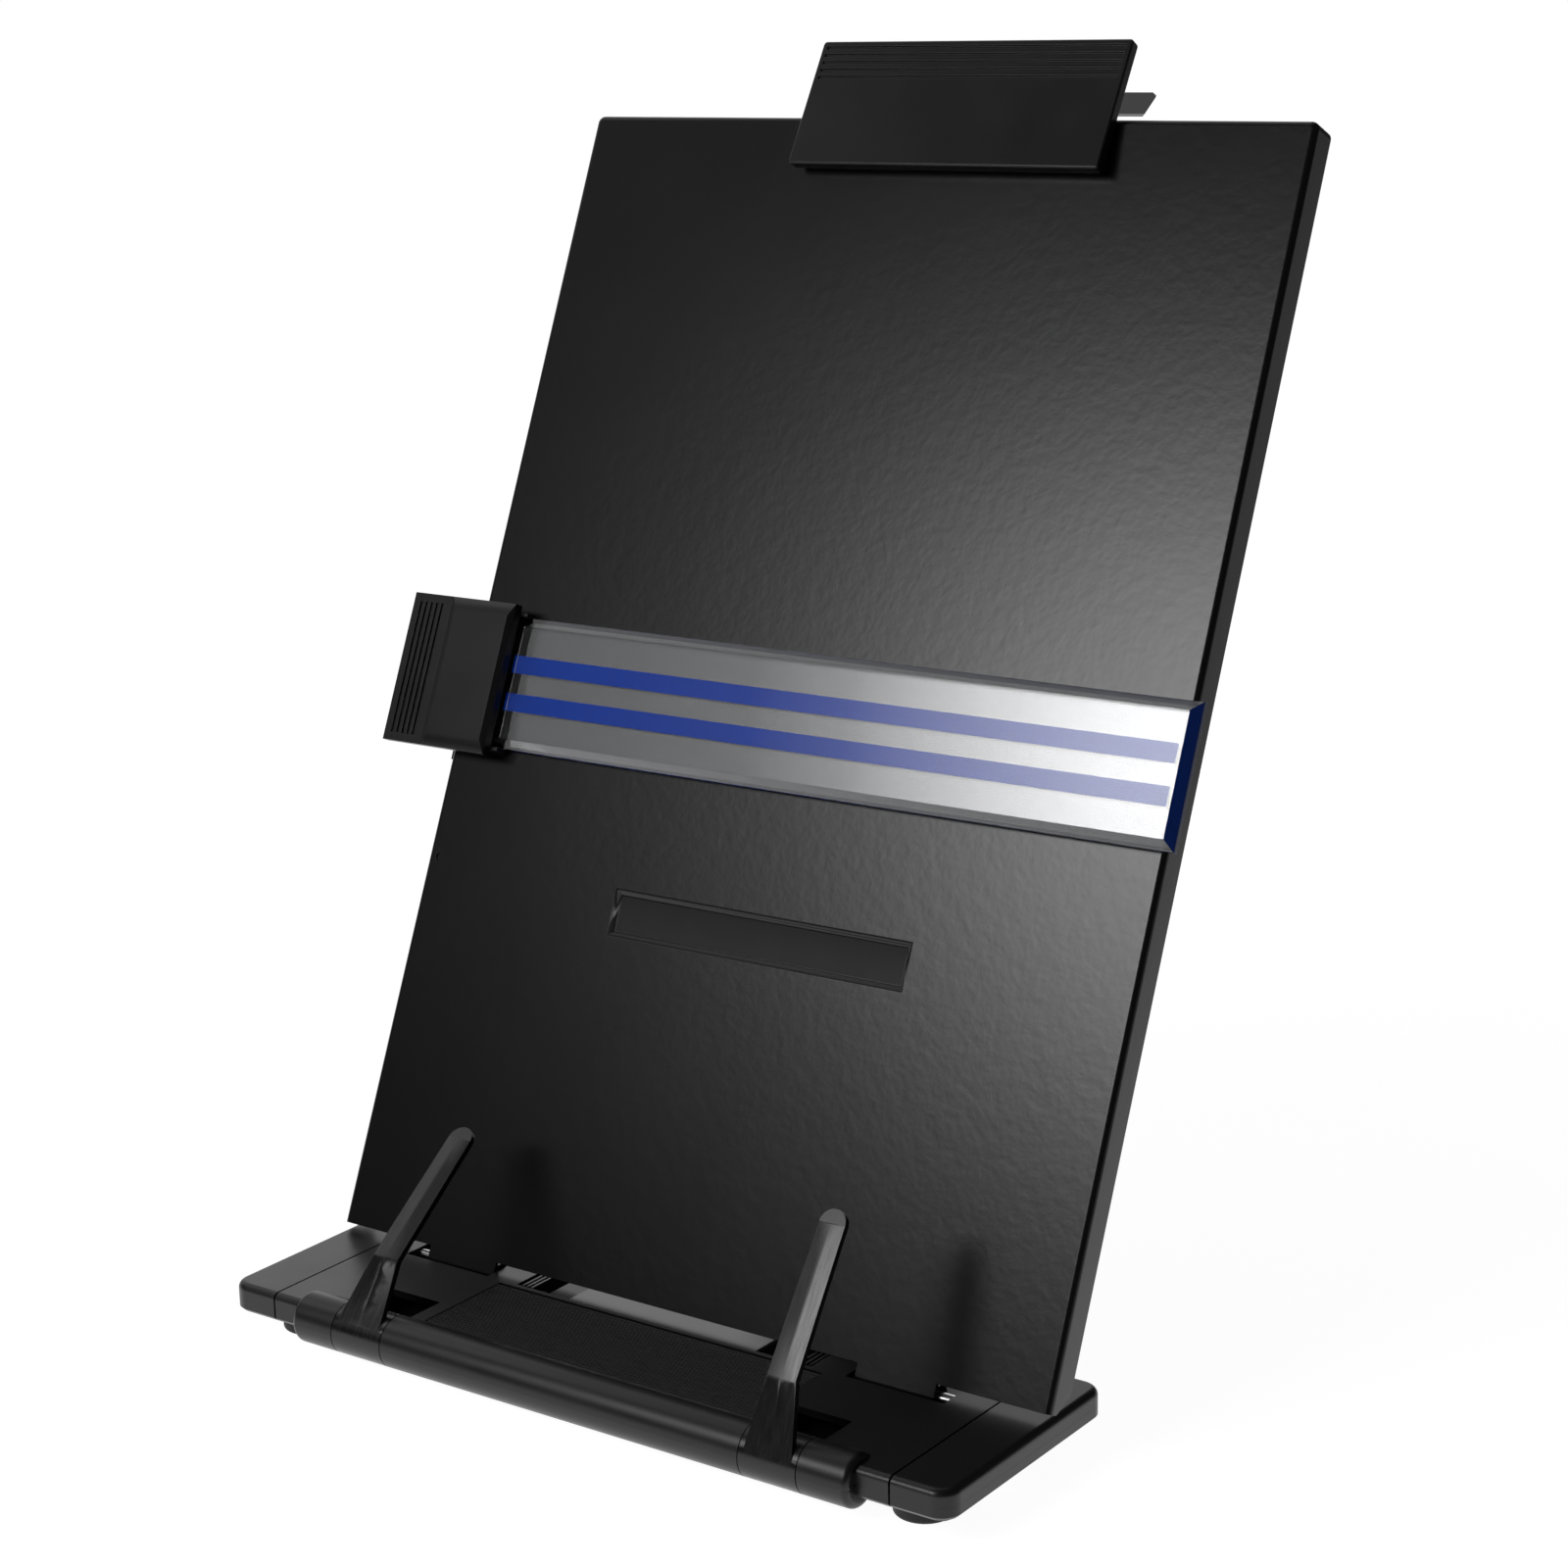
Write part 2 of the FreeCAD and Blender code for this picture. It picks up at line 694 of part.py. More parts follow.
def make_page_arm(side, word, angle):
    """The hub and its bent, ridged blade, moulded in one piece."""
    bend = V(0, 0, val("arm_bend_reach"))
    lead = math.radians(val("arm_tip_lead"))
    tip = V(0, math.sin(lead), math.cos(lead)) * val("arm_tip_reach")
    hub = val("roll_round")
    ridge = val("arm_ridge")
    middle = V(side * val("(hub_inner + hub_outer) / 2"), 0, 0)
    fall = math.asin(hub / bend.z)
    down = V(0, -math.sin(fall), -math.cos(fall))
    root = bend + down * (bend.z * math.cos(fall))
    upper = (tip - bend).normalize()
    blade_front = V(0, -upper.z, upper.y)
    root_front = V(0, -math.cos(fall), math.sin(fall))
    joint_front = (blade_front + root_front).normalize()
    low = arm_section(val("arm_root_width"), middle + root, X_AXIS, root_front, 0)
    elbow = arm_section(val("arm_bend_width"), middle + bend, X_AXIS, joint_front, ridge)
    high = arm_section(val("arm_tip_width"), middle + tip - upper * (val("arm_tip_width") / 2),
                       X_AXIS, blade_front, ridge)
    lower_blade = Part.makeLoft([low, elbow], True, True)
    upper_blade = Part.makeLoft([elbow, high], True, True)
    centre = middle + tip - upper * (val("arm_tip_width") / 2)
    nose = Part.makeCylinder(val("arm_tip_width") / 2, val("arm_thick"), centre, -blade_front)
    inner = val("hub_inner + side_gap")
    outer = val("hub_outer - side_gap")
    start = inner if side > 0 else -outer
    drum = Part.makeCylinder(hub, outer - inner, V(start, 0, 0), X_AXIS)
    whole = drum.fuse([lower_blade, upper_blade, nose]).removeSplitter()
    bore = Part.makeCylinder(val("axle_round + bore_gap"), 4 * outer, V(-2 * outer, 0, 0), X_AXIS)
    seat = val("washer_thick + slip_gap")
    seat_start = outer - seat if side > 0 else -outer
    room = Part.makeCylinder(val("washer_round + touch_gap"), seat, V(seat_start, 0, 0), X_AXIS)
    arm = doc.addObject("Part::Feature", "page_arm_" + word)
    arm.Shape = whole.cut([bore, room])
    keep(arm, "page_arm_" + word, tilt_place(val(angle)))


def make_arm_axle():
    reach = "roll_half_length - roll_wall - side_gap"
    keep(rod("arm_axle_rod", ("-(%s)" % reach, reach), "-roll_front", "roll_height",
             "axle_round"), "arm_axle")
    rings = []
    for side in (-1, 1):
        x = side_span(side, "hub_outer - washer_thick", "hub_outer")
        ring = rod("washer_disc", x, "-roll_front", "roll_height", "washer_round")
        bore = rod("washer_bore", side_span(side, "hub_inner", "roll_half_length"),
                   "-roll_front", "roll_height", "axle_round + bore_gap")
        rings.append(cut("washer", ring, [bore]))
    keep(fuse("arm_washers_all", rings), "arm_washers")


# Hinge between base and board

def make_hinge_parts(side, word):
    x = side_span(side, "hinge_pin_inner", "hinge_pin_outer")
    keep(rod("hinge_pin_rod_" + word, x, "0", "hinge_height", "hinge_pin_round"),
         "hinge_pin_" + word)
    block = box("hinge_saddle_block_" + word,
                side_span(side, "tray_cutout + base_wall + side_gap",
                          "end_seam - seam_gap / 2 - base_wall - side_gap"),
                ("-saddle_half_depth", "saddle_half_depth"), (FLOOR_TOP, "hinge_height"))
    way = rod("hinge_saddle_way_" + word, side_span(side, "tray_cutout", "end_seam"), "0",
              "hinge_height", "hinge_pin_round")
    keep(cut("hinge_saddle_cut_" + word, block, [way]), "hinge_saddle_" + word)


def make_board_panel():
    panel = new_body("board_panel_blank")
    x = ("-board_width / 2", "board_width / 2")
    z = ("board_rise", BOARD_TOP)
    pad(panel, outline(panel, "board_outline", "XZ_Plane", "-" + FLANGE_BACK, rectangle(x, z)),
        "flange_depth")
    front = val(FACE)
    top = val(BOARD_TOP)
    low = val("board_rise")
    dress(panel, "Fillet", "corner_round", lambda e: runs_along(e, 1) and all_at(e, 2, top))
    dress(panel, "Fillet", "fold_round",
          lambda e: all_at(e, 1, front) and not all_at(e, 2, low))
    room_x = ("sheet_thick - board_width / 2", "board_width / 2 - sheet_thick")
    pocket(panel, outline(panel, "board_room", "XZ_Plane", "-" + FLANGE_BACK,
                          rectangle(room_x, ("0", BOARD_TOP + " - sheet_thick"))),
           "flange_depth - sheet_thick", back=True)
    corner = [("0", "board_rise - 1"), ("0", "board_rise"),
              (FLANGE_BACK + " + 1", "board_rise + flange_cut_height * 1.2"),
              (FLANGE_BACK + " + 1", "board_rise - 1")]
    pocket(panel, outline(panel, "flange_cut", "YZ_Plane", "-board_width", corner),
           "2 * board_width", back=True)
    pieces = [panel]
    bores = []
    for side in (-1, 1):
        knuckle = side_span(side, "knuckle_inner", "knuckle_outer")
        pieces.append(rod("knuckle", knuckle, "0", "0", "knuckle_round"))
        pieces.append(box("knuckle_strip", knuckle, (FACE, BACK), ("0", "board_rise + 1")))
        bores.append(rod("knuckle_bore", side_span(side, "knuckle_inner - 1", "knuckle_outer + 1"),
                         "0", "0", "hinge_pin_round + bore_gap"))
    margin = "plate_slope"
    half = "plate_width / 2"
    pieces.append(box("plate_back", ("plate_offset - %s - %s" % (half, margin),
                                     "plate_offset + %s + %s" % (half, margin)),
                      (BACK + " - sheet_thick / 2", BACK + " + plate_recess"),
                      ("plate_low - plate_slope", "plate_low + plate_height + plate_slope")))
    whole = fuse("board_panel_whole", pieces)
    hollow = doc.addObject("Part::Wedge", "plate_hollow")
    wide = "(plate_width / 2)"
    slim = "(plate_width / 2 - plate_slope)"
    bind(hollow, "Xmin", "plate_offset - " + wide)
    bind(hollow, "Xmax", "plate_offset + " + wide)
    bind(hollow, "X2min", "plate_offset - " + slim)
    bind(hollow, "X2max", "plate_offset + " + slim)
    bind(hollow, "Ymin", FACE)
    bind(hollow, "Ymax", FACE + " + plate_recess")
    bind(hollow, "Zmin", "plate_low")
    bind(hollow, "Zmax", "plate_low + plate_height")
    bind(hollow, "Z2min", "plate_low + plate_slope")
    bind(hollow, "Z2max", "plate_low + plate_height - plate_slope")
    dimple = stud("dimple", "-dimple_side", (FACE + " - 1", FACE + " + dimple_depth"),
                  "dimple_rise", "dimple_round")
    keep(cut("board_panel_cut", whole, bores + [hollow, dimple]), "board_panel", board_place())


# Prop leg, its brackets and the notched rear foot

def prop_lean():
    """The lean of the line from the hinge axis to the prop's pivot, and its length."""
    length = math.hypot(val(PROP_PIVOT), val("prop_stand_off"))
    offset = math.degrees(math.atan2(val("prop_stand_off"), val(PROP_PIVOT)))
    return val("board_tilt") + offset, length


def make_prop_brackets():
    gap = "prop_half_width + side_gap + side_gap"
    heads = []
    for side, word in ((-1, "left"), (1, "right")):
        z = (PROP_PIVOT + " - bracket_height / 2", PROP_PIVOT + " + bracket_height / 2")
        leaf = box("bracket_leaf", side_span(side, gap, gap + " + bracket_width"),
                   (BACK, BACK + " + sheet_thick"), z)
        ear = box("bracket_ear_" + word, side_span(side, gap, gap + " + bracket_ear"),
                  (BACK, "prop_stand_off + 2 * prop_rod_round"),
                  (PROP_PIVOT + " - 2 * prop_rod_round", PROP_PIVOT + " + 2 * prop_rod_round"))
        whole = fuse("bracket_whole_" + word, [leaf, ear])
        hole = rod("bracket_hole", side_span(side, "0", gap + " + bracket_width"),
                   "prop_stand_off", PROP_PIVOT, "prop_rod_round")
        keep(cut("bracket_cut_" + word, whole, [hole]), "prop_bracket_" + word, board_place())
        for rise in (-1, 1):
            heads.append(stud("rivet", mirrored(side, gap + " + bracket_width / 2 + bracket_ear"),
                              (BACK + " + sheet_thick", BACK + " + sheet_thick + rivet_height"),
                              PROP_PIVOT + " + %d * bracket_height / 4" % rise, "rivet_round"))
    keep(fuse("bracket_rivets_all", heads), "bracket_rivets", board_place())
    reach = gap + " + bracket_ear"
    keep(rod("prop_rod", ("-(%s)" % reach, reach), "prop_stand_off", PROP_PIVOT,
             "prop_rod_round"), "prop_pivot_rod", board_place())


def prop_place():
    """The frame of the prop: pivot along X, the foot straight down Z."""
    lean, length = prop_lean()
    angle = math.radians(lean)
    pivot = V(0, length * math.sin(angle), val("hinge_height") + length * math.cos(angle))
    return FreeCAD.Placement(pivot, FreeCAD.Rotation(X_AXIS, lean))


def make_prop_leg():
    length = prop_lean()[1]
    half = val("prop_half_width")
    thick = val("sheet_thick")
    top = val("prop_knuckle_round")
    foot = val("prop_foot_round")
    inner = val("prop_rod_round")
    plate = Part.makeBox(2 * half, thick, length, V(-half, -thick / 2, -length))
    pieces = [plate]
    for side in (-1, 1):
        start = half - thick if side > 0 else -half
        depth = val("prop_flange")
        pieces.append(Part.makeBox(thick, depth, length - 4 * top,
                                   V(start, -thick / 2, 2 * top - length)))
    pieces.append(Part.makeCylinder(top, 2 * half, V(-half, 0, 0), X_AXIS))
    pieces.append(Part.makeCylinder(foot, 2 * half, V(-half, 0, -length), X_AXIS))
    upper_bore = Part.makeCylinder(inner + val("bore_gap"), 4 * half, V(-2 * half, 0, 0), X_AXIS)
    lower_bore = Part.makeCylinder(inner, 4 * half, V(-2 * half, 0, -length), X_AXIS)
    leg = doc.addObject("Part::Feature", "prop_leg_solid")
    leg.Shape = pieces[0].fuse(pieces[1:]).cut([upper_bore, lower_bore]).removeSplitter()
    keep(leg, "prop_leg", prop_place())
    bar = doc.addObject("Part::Feature", "prop_foot_solid")
    reach = half + val("side_gap") * 2
    bar.Shape = Part.makeCylinder(inner, 2 * reach, V(-reach, 0, -length), X_AXIS)
    keep(bar, "prop_foot_rod", prop_place())


def make_rear_foot():
    foot = new_body("rear_foot_blank")
    rack = "(hinge_height - prop_foot_round - touch_gap)"
    under = "(base_rear + side_gap)"
    side = [("side_gap - tray_rear", FLOOR_TOP), ("side_gap - tray_rear", "base_top - touch_gap"),
            (under + " + 1", "base_top - touch_gap"), ("foot_slope_end", rack),
            ("foot_reach", rack), ("foot_reach", "foot_rise"), (under, "foot_rise"),
            (under, FLOOR_TOP)]
    pad(foot, outline(foot, "foot_side", "YZ_Plane", "-foot_half_width", side),
        "2 * foot_half_width")
    reach = val("foot_reach")
    dress(foot, "Fillet", "base_corner", lambda e: runs_along(e, 2) and all_at(e, 1, reach))
    room = ("foot_wall - foot_half_width", "foot_half_width - foot_wall")
    pocket(foot, outline(foot, "foot_room", "XY_Plane", "foot_rise",
                         rectangle(room, (under + " + foot_wall", "foot_reach - foot_wall"))),
           rack + " - foot_top_wall - foot_rise", back=True)
    lean, length = prop_lean()
    rest = 2 * length * math.sin(math.radians(lean))
    count = int(val("notch_count"))
    notches = []
    for i in range(count):
        middle = rest + (i - (count - 1) / 2) * val("notch_pitch")
        half = val("notch_width") / 2
        low = val(rack + " - notch_depth")
        high = val(rack + " + 1")
        wire = Part.makePolygon([V(0, middle - half, high), V(0, middle - half / 2, low),
                                 V(0, middle + half / 2, low), V(0, middle + half, high),
                                 V(0, middle - half, high)])
        width = val("foot_half_width - foot_wall")
        wedge = Part.Face(wire).extrude(V(2 * width, 0, 0))
        wedge.translate(V(-width, 0, 0))
        notch = doc.addObject("Part::Feature", "notch")
        notch.Shape = wedge
        notches.append(notch)
    keep(cut("rear_foot_cut", foot, notches), "rear_foot")
    heel = box("heel_block", ("-(foot_half_width - side_gap)", "foot_half_width - side_gap"),
               ("foot_reach - heel_pad_depth - foot_wall", "foot_reach - foot_wall"),
               ("0", "foot_rise"))
    keep(rounded("heel_soft", heel, "pad_edge_round", lambda e: runs_along(e, 2)), "heel_pad")


# Line guide

GUIDE_LOW = "(guide_middle - knob_height / 2)"
GUIDE_HIGH = "(guide_middle + knob_height / 2)"
KNOB_BACK = "(-knuckle_round - knob_lift)"
KNOB_PLATE = "(-knuckle_round - knob_lift - knob_body_drop)"
KNOB_FACE = "(-knuckle_round - knob_lift - knob_body_drop - knob_plate_thick)"
RULER_BACK = "(-knuckle_round - ruler_lift)"
RULER_FRONT = "(-knuckle_round - ruler_lift - ruler_thick)"
RULER_LOW = "(guide_middle - ruler_height / 2)"
RULER_HIGH = "(guide_middle + ruler_height / 2)"
RULER_START = "(knob_inner + ruler_socket)"
JAW_LIP = "(%s + slip_gap)" % FLANGE_BACK
JAW_SIDE = "(board_width / 2 + slip_gap)"


def guide_screws():
    for rise in (-1, 1):
        yield ("-(knob_outer - knob_body_inset - 2 * boss_round)",
               "guide_middle + %d * knob_height / 3" % rise)


def make_guide_knob():
    plate = box("knob_plate", ("-knob_outer", "-knob_inner"), (KNOB_FACE, KNOB_PLATE),
                (GUIDE_LOW, GUIDE_HIGH))
    panel = doc.addObject("Part::Wedge", "knob_panel")
    bind(panel, "Xmin", "panel_side_slope - panel_start")
    bind(panel, "Xmax", "-(knob_inner + panel_inner_slope)")
    bind(panel, "X2min", "-panel_start")
    bind(panel, "X2max", "-knob_inner")
    bind(panel, "Ymin", KNOB_FACE + " - panel_rise")
    bind(panel, "Ymax", KNOB_FACE)
    bind(panel, "Zmin", GUIDE_LOW + " + panel_end_slope")
    bind(panel, "Zmax", GUIDE_HIGH + " - panel_end_slope")
    bind(panel, "Z2min", GUIDE_LOW)
    bind(panel, "Z2max", GUIDE_HIGH)
    low = RULER_LOW + " - knob_cheek"
    high = RULER_HIGH + " + knob_cheek"
    body = box("knob_body", ("knob_body_inset - knob_outer", "knob_cheek_reach - knob_inner"),
               (KNOB_PLATE, KNOB_BACK), (low, high))
    whole = fuse("knob_whole", [plate, panel, body])
    tools = [box("ruler_slot", ("-%s" % RULER_START, "knob_cheek_reach + 1 - knob_inner"),
                 (RULER_FRONT + " - bore_gap", "0"),
                 (RULER_LOW + " - bore_gap", RULER_HIGH + " + bore_gap")),
             box("knob_room", ("knob_body_inset + knob_cheek - knob_outer",
                               "-%s - base_wall" % RULER_START),
                 (KNOB_PLATE, "0"), (low + " + base_wall", high + " - base_wall"))]
    for i in range(int(val("groove_count"))):
        start = "groove_margin + %d * groove_pitch - knob_outer" % i
        tools.append(box("grip_groove", (start, start + " + groove_width"),
                         (KNOB_FACE + " - 1", KNOB_FACE + " + groove_depth"),
                         (GUIDE_LOW + " + groove_margin", GUIDE_HIGH + " - groove_margin")))
    hollow = cut("knob_hollow", whole, tools)
    posts = [stud("knob_boss", x, (KNOB_PLATE + " - bore_gap", KNOB_BACK), z, "boss_round")
             for x, z in guide_screws()]
    joined = fuse("knob_joined", [hollow] + posts)
    ways = [stud("knob_screw_way", x, (KNOB_PLATE, "0"), z, "screw_round")
            for x, z in guide_screws()]
    keep(cut("guide_knob_cut", joined, ways), "guide_knob", board_place())


def make_guide_jaw():
    low = GUIDE_LOW + " + jaw_inset"
    high = GUIDE_HIGH + " - jaw_inset"
    seat = "(jaw_flange - knuckle_round - knob_lift)"
    back = "(%s + jaw_lip_thick)" % JAW_LIP
    web = ("-(%s + jaw_web)" % JAW_SIDE, "-" + JAW_SIDE)
    flange = box("jaw_flange_block", ("knob_body_inset + knob_cheek - knob_outer", "-" + JAW_SIDE),
                 (KNOB_BACK, seat), (low, high))
    side = box("jaw_side", web, (KNOB_BACK, back), (low, high))
    lip = box("jaw_lip", (web[0], "jaw_lip_reach - board_width / 2"), (JAW_LIP, back),
              (low, high))
    nub = box("jaw_nub", (web[0], web[0] + " + jaw_nub_width"), (JAW_LIP + " - jaw_lip_thick", back),
              (low + " - jaw_nub_drop", low))
    whole = fuse("jaw_whole", [flange, side, lip, nub])
    soft = rounded("jaw_soft", whole, "pad_edge_round / 2",
                   lambda e: runs_along(e, 2) and all_at(e, 1, val(back)))
    tools = [box("brake_seat", ("slip_gap - board_width / 2", "jaw_lip_reach - board_width / 2 - 1"),
                 (JAW_LIP + " - 1", JAW_LIP + " + brake_thick"),
                 (low + " + jaw_web", high + " - jaw_web"))]
    for x, z in guide_screws():
        tools.append(stud("jaw_screw_way", x, ("-2 * knuckle_round", "2 * knuckle_round"), z,
                          "screw_round + side_gap"))
    keep(cut("guide_jaw_cut", soft, tools), "guide_back_jaw", board_place())
    leaf = box("brake_leaf", ("slip_gap + side_gap - board_width / 2",
                              "jaw_lip_reach - board_width / 2 - 1 - side_gap"),
               (JAW_LIP + " - slip_gap + touch_gap", JAW_LIP + " + brake_thick"),
               (low + " + jaw_web + side_gap", high + " - jaw_web - side_gap"))
    keep(leaf, "guide_brake_spring", board_place())
    screws = []
    for x, z in guide_screws():
        head = stud("guide_screw_head", x, (seat, seat + " + screw_head_depth"), z,
                    "screw_head_round")
        shank = stud("guide_screw_shank", x, (KNOB_PLATE + " + screw_spare", seat), z,
                     "screw_round")
        screws.append(fuse("guide_screw", [head, shank]))
    keep(fuse("guide_screws_all", screws), "guide_screws", board_place())


def make_ruler():
    ruler = new_body("clear_ruler")
    x = ("-%s + bore_gap" % RULER_START, "board_width / 2 + ruler_overhang")
    pad(ruler, outline(ruler, "ruler_outline", "XZ_Plane", "-" + RULER_BACK,
                       rectangle(x, (RULER_LOW, RULER_HIGH))), "ruler_thick")
    front = val(RULER_FRONT)
    start = val(x[0])
    doc.recompute()
    base = ruler.Tip
    edges = ["Edge%d" % i for i, e in enumerate(base.Shape.Edges, 1)
             if all_at(e, 1, front) and not all_at(e, 0, start)]
    bevel = ruler.newObject("PartDesign::Chamfer", "ruler_bevel")
    bevel.Base = (base, edges)
    bevel.ChamferType = "Two distances"
    bind(bevel, "Size", "ruler_bevel_depth")
    bind(bevel, "Size2", "ruler_bevel_width")
    doc.recompute()
    wanted = val("ruler_bevel_width")
    inner = max(v.Point.x for v in ruler.Shape.Vertexes if near(v.Point.y, front))
    bevel.FlipDirection = not near(val(x[1]) - inner, wanted)
    keep(ruler, "clear_ruler", board_place())
    stripes = []
    for side in (-1, 1):
        middle = "guide_middle + %d * stripe_spacing / 2" % side
        stripes.append(box("stripe", ("-knob_inner", "board_width / 2 + ruler_overhang - "
                                      "ruler_bevel_width - stripe_margin + 2"),
                           (RULER_BACK, RULER_BACK + " + stripe_thick"),
                           (middle + " - stripe_height / 2", middle + " + stripe_height / 2")))
    keep(fuse("ruler_stripes_all", stripes), "ruler_stripes", board_place())


# Top clip

SADDLE_TOP = "(board_rise + board_length + touch_gap + saddle_wall)"
PIVOT_UP = "(board_rise + board_length + touch_gap + saddle_wall + slip_gap + clip_ear_round)"
SADDLE_BACK = "(flange_depth - knuckle_round + slip_gap)"


def make_clip_saddle():
    half = "saddle_width / 2"
    x = ("clip_offset - " + half, "clip_offset + " + half)
    wall = box("saddle_wall_block", x, (SADDLE_BACK, SADDLE_BACK + " + saddle_wall"),
               (BOARD_TOP + " - saddle_drop", BOARD_TOP + " + lever_gap + saddle_wall"))
    web = box("saddle_web", x, ("touch_gap + sheet_thick - knuckle_round", SADDLE_BACK + " + 1"),
              (BOARD_TOP + " + touch_gap", SADDLE_TOP))
    hook = box("saddle_hook", x, (FLANGE_BACK + " - 2 * sheet_thick", SADDLE_BACK + " + 1"),
               (BOARD_TOP + " - sheet_thick - slip_gap - saddle_wall",
                BOARD_TOP + " - sheet_thick - slip_gap"))
    pieces = [wall, web, hook]
    for side in (-1, 1):
        span = side_span(side, half + " - clip_ear_width", half)
        span = ("clip_offset + " + span[0], "clip_offset + " + span[1])
        pieces.append(box("saddle_ear", span, ("clip_pivot_back - clip_ear_round", SADDLE_BACK + " + 1"),
                          (SADDLE_TOP + " - 1", PIVOT_UP + " + clip_ear_round")))
    lever = new_body("clip_lever")
    low = BOARD_TOP + " + lever_gap"
    high = BOARD_TOP + " + lever_rise"
    shape = [(SADDLE_BACK, low), (SADDLE_BACK + " + saddle_wall", low),
             (SADDLE_BACK + " + saddle_wall + lever_back", high), (SADDLE_BACK + " + lever_back", high)]
    pad(lever, outline(lever, "lever_side", "YZ_Plane", "clip_offset - lever_width / 2", shape),
        "lever_width")
    back = val(SADDLE_BACK + " + saddle_wall")
    dress(lever, "Chamfer", "lever_end_cut",
          lambda e: not runs_along(e, 0) and all(v.Point.y > back - 1e-4 for v in e.Vertexes))
    pieces.append(lever)
    whole = fuse("saddle_whole", pieces)
    way = rod("saddle_pin_way", ("clip_offset - clip_width", "clip_offset + clip_width"),
              "clip_pivot_back", PIVOT_UP, "hinge_pin_round")
    keep(cut("clip_saddle_cut", whole, [way]), "clip_saddle", board_place())
    keep(rod("clip_pin_rod", ("clip_offset - saddle_width / 2", "clip_offset + saddle_width / 2"),
             "clip_pivot_back", PIVOT_UP, "hinge_pin_round"), "clip_pin", board_place())


def jaw_place():
    """The frame of the clip's front plate: pin along X, Z up the leaning plate."""
    lean = FreeCAD.Rotation(X_AXIS, -val("clip_lean"))
    pivot = FreeCAD.Placement(V(0, val("clip_pivot_back"), val(PIVOT_UP)), lean)
    return board_place().multiply(pivot)


def make_clip_plate():
    plate = new_body("clip_plate_blank")
    x = ("clip_offset - clip_width / 2", "clip_offset + clip_width / 2")
    pad(plate, outline(plate, "clip_outline", "XZ_Plane", "clip_reach",
                       rectangle(x, ("-clip_below", "clip_above"))), "clip_thick")
    front = "-(clip_reach + clip_thick)"
    dress(plate, "Fillet", "pad_edge_round", lambda e: runs_along(e, 1))
    dress(plate, "Fillet", "groove_depth", lambda e: all_at(e, 1, val(front)))
    pieces = [plate]
    for side in (-1, 1):
        outer = "saddle_width / 2 - clip_ear_width - side_gap"
        span = side_span(side, outer + " - clip_ear_width", outer)
        span = ("clip_offset + " + span[0], "clip_offset + " + span[1])
        pieces.append(rod("jaw_ear", span, "0", "0", "clip_ear_round"))
        pieces.append(box("jaw_arm", span, ("-clip_reach - 1", "0"),
                          ("-clip_ear_round", "clip_ear_round")))
    whole = fuse("clip_plate_whole", pieces)
    tools = [rod("jaw_bore", ("clip_offset - clip_width", "clip_offset + clip_width"),
                 "0", "0", "hinge_pin_round + bore_gap")]
    for i in range(int(val("clip_groove_count"))):
        top = "clip_above - clip_groove_margin - %d * clip_groove_pitch" % i
        tools.append(box("clip_groove", (x[0] + " + clip_groove_margin", x[1] + " - clip_groove_margin"),
                         (front + " - 1", front + " + groove_depth"),
                         (top + " - clip_groove_width", top)))
    keep(cut("clip_plate_cut", whole, tools), "clip_plate", jaw_place())
    strip = new_body("clip_pad")
    lean = math.radians(val("clip_lean"))
    face = val("clip_pivot_back + touch_gap") - val(FACE)
    corners = []
    for z in (-val("clip_below") + 1, -val("clip_below") + 1 + val("clip_pad_height")):
        corners.append((-val("clip_reach"), z))
        corners.append(((-face - z * math.sin(lean)) / math.cos(lean), z))
    shape = [corners[0], corners[1], corners[3], corners[2]]
    pad(strip, outline(strip, "pad_side", "YZ_Plane", x[0] + " + corner_round", shape),
        "clip_width - 2 * corner_round")
    keep(strip, "clip_pad", jaw_place())


def make_clip_spring():
    """The torsion spring on the clip's pin: a wound wire whose ends lean on plate and lever."""
    wire = val("spring_wire")
    turns = val("spring_turns")
    pitch = wire + val("bore_gap")
    radius = val("hinge_pin_round + spring_fit") + wire / 2
    helix = Part.makeHelix(pitch, pitch * turns, radius)
    ring = Part.Wire([Part.Circle(V(radius, 0, 0), Y_AXIS, wire / 2).toShape()])
    coil = helix.makePipeShell([ring], True, True)
    lean = val("lever_back / (lever_rise - lever_gap)")
    height = val(PIVOT_UP + " - board_rise - board_length - lever_gap") + radius - wire / 2
    tip = radius + wire / 2
    to_plate = (val("clip_reach - bore_gap") - tip * math.sin(math.radians(val("clip_lean"))))
    to_lever = val(SADDLE_BACK + " - clip_pivot_back - bore_gap") + lean * height
    front = Part.makeCylinder(wire / 2, to_plate, V(radius, 0, pitch * turns), Y_AXIS)
    back = Part.makeCylinder(wire / 2, to_lever, V(radius, 0, 0), Y_AXIS * -1)
    spring = doc.addObject("Part::Feature", "clip_spring_coil")
    spring.Shape = coil.fuse([front, back])
    middle = V(val("clip_offset") - pitch * turns / 2, val("clip_pivot_back"), val(PIVOT_UP))
    turned = FreeCAD.Placement(middle, FreeCAD.Rotation(V(0, 0, 1), V(0, -1, 0), V(1, 0, 0)))
    keep(spring, "clip_spring", board_place().multiply(turned))


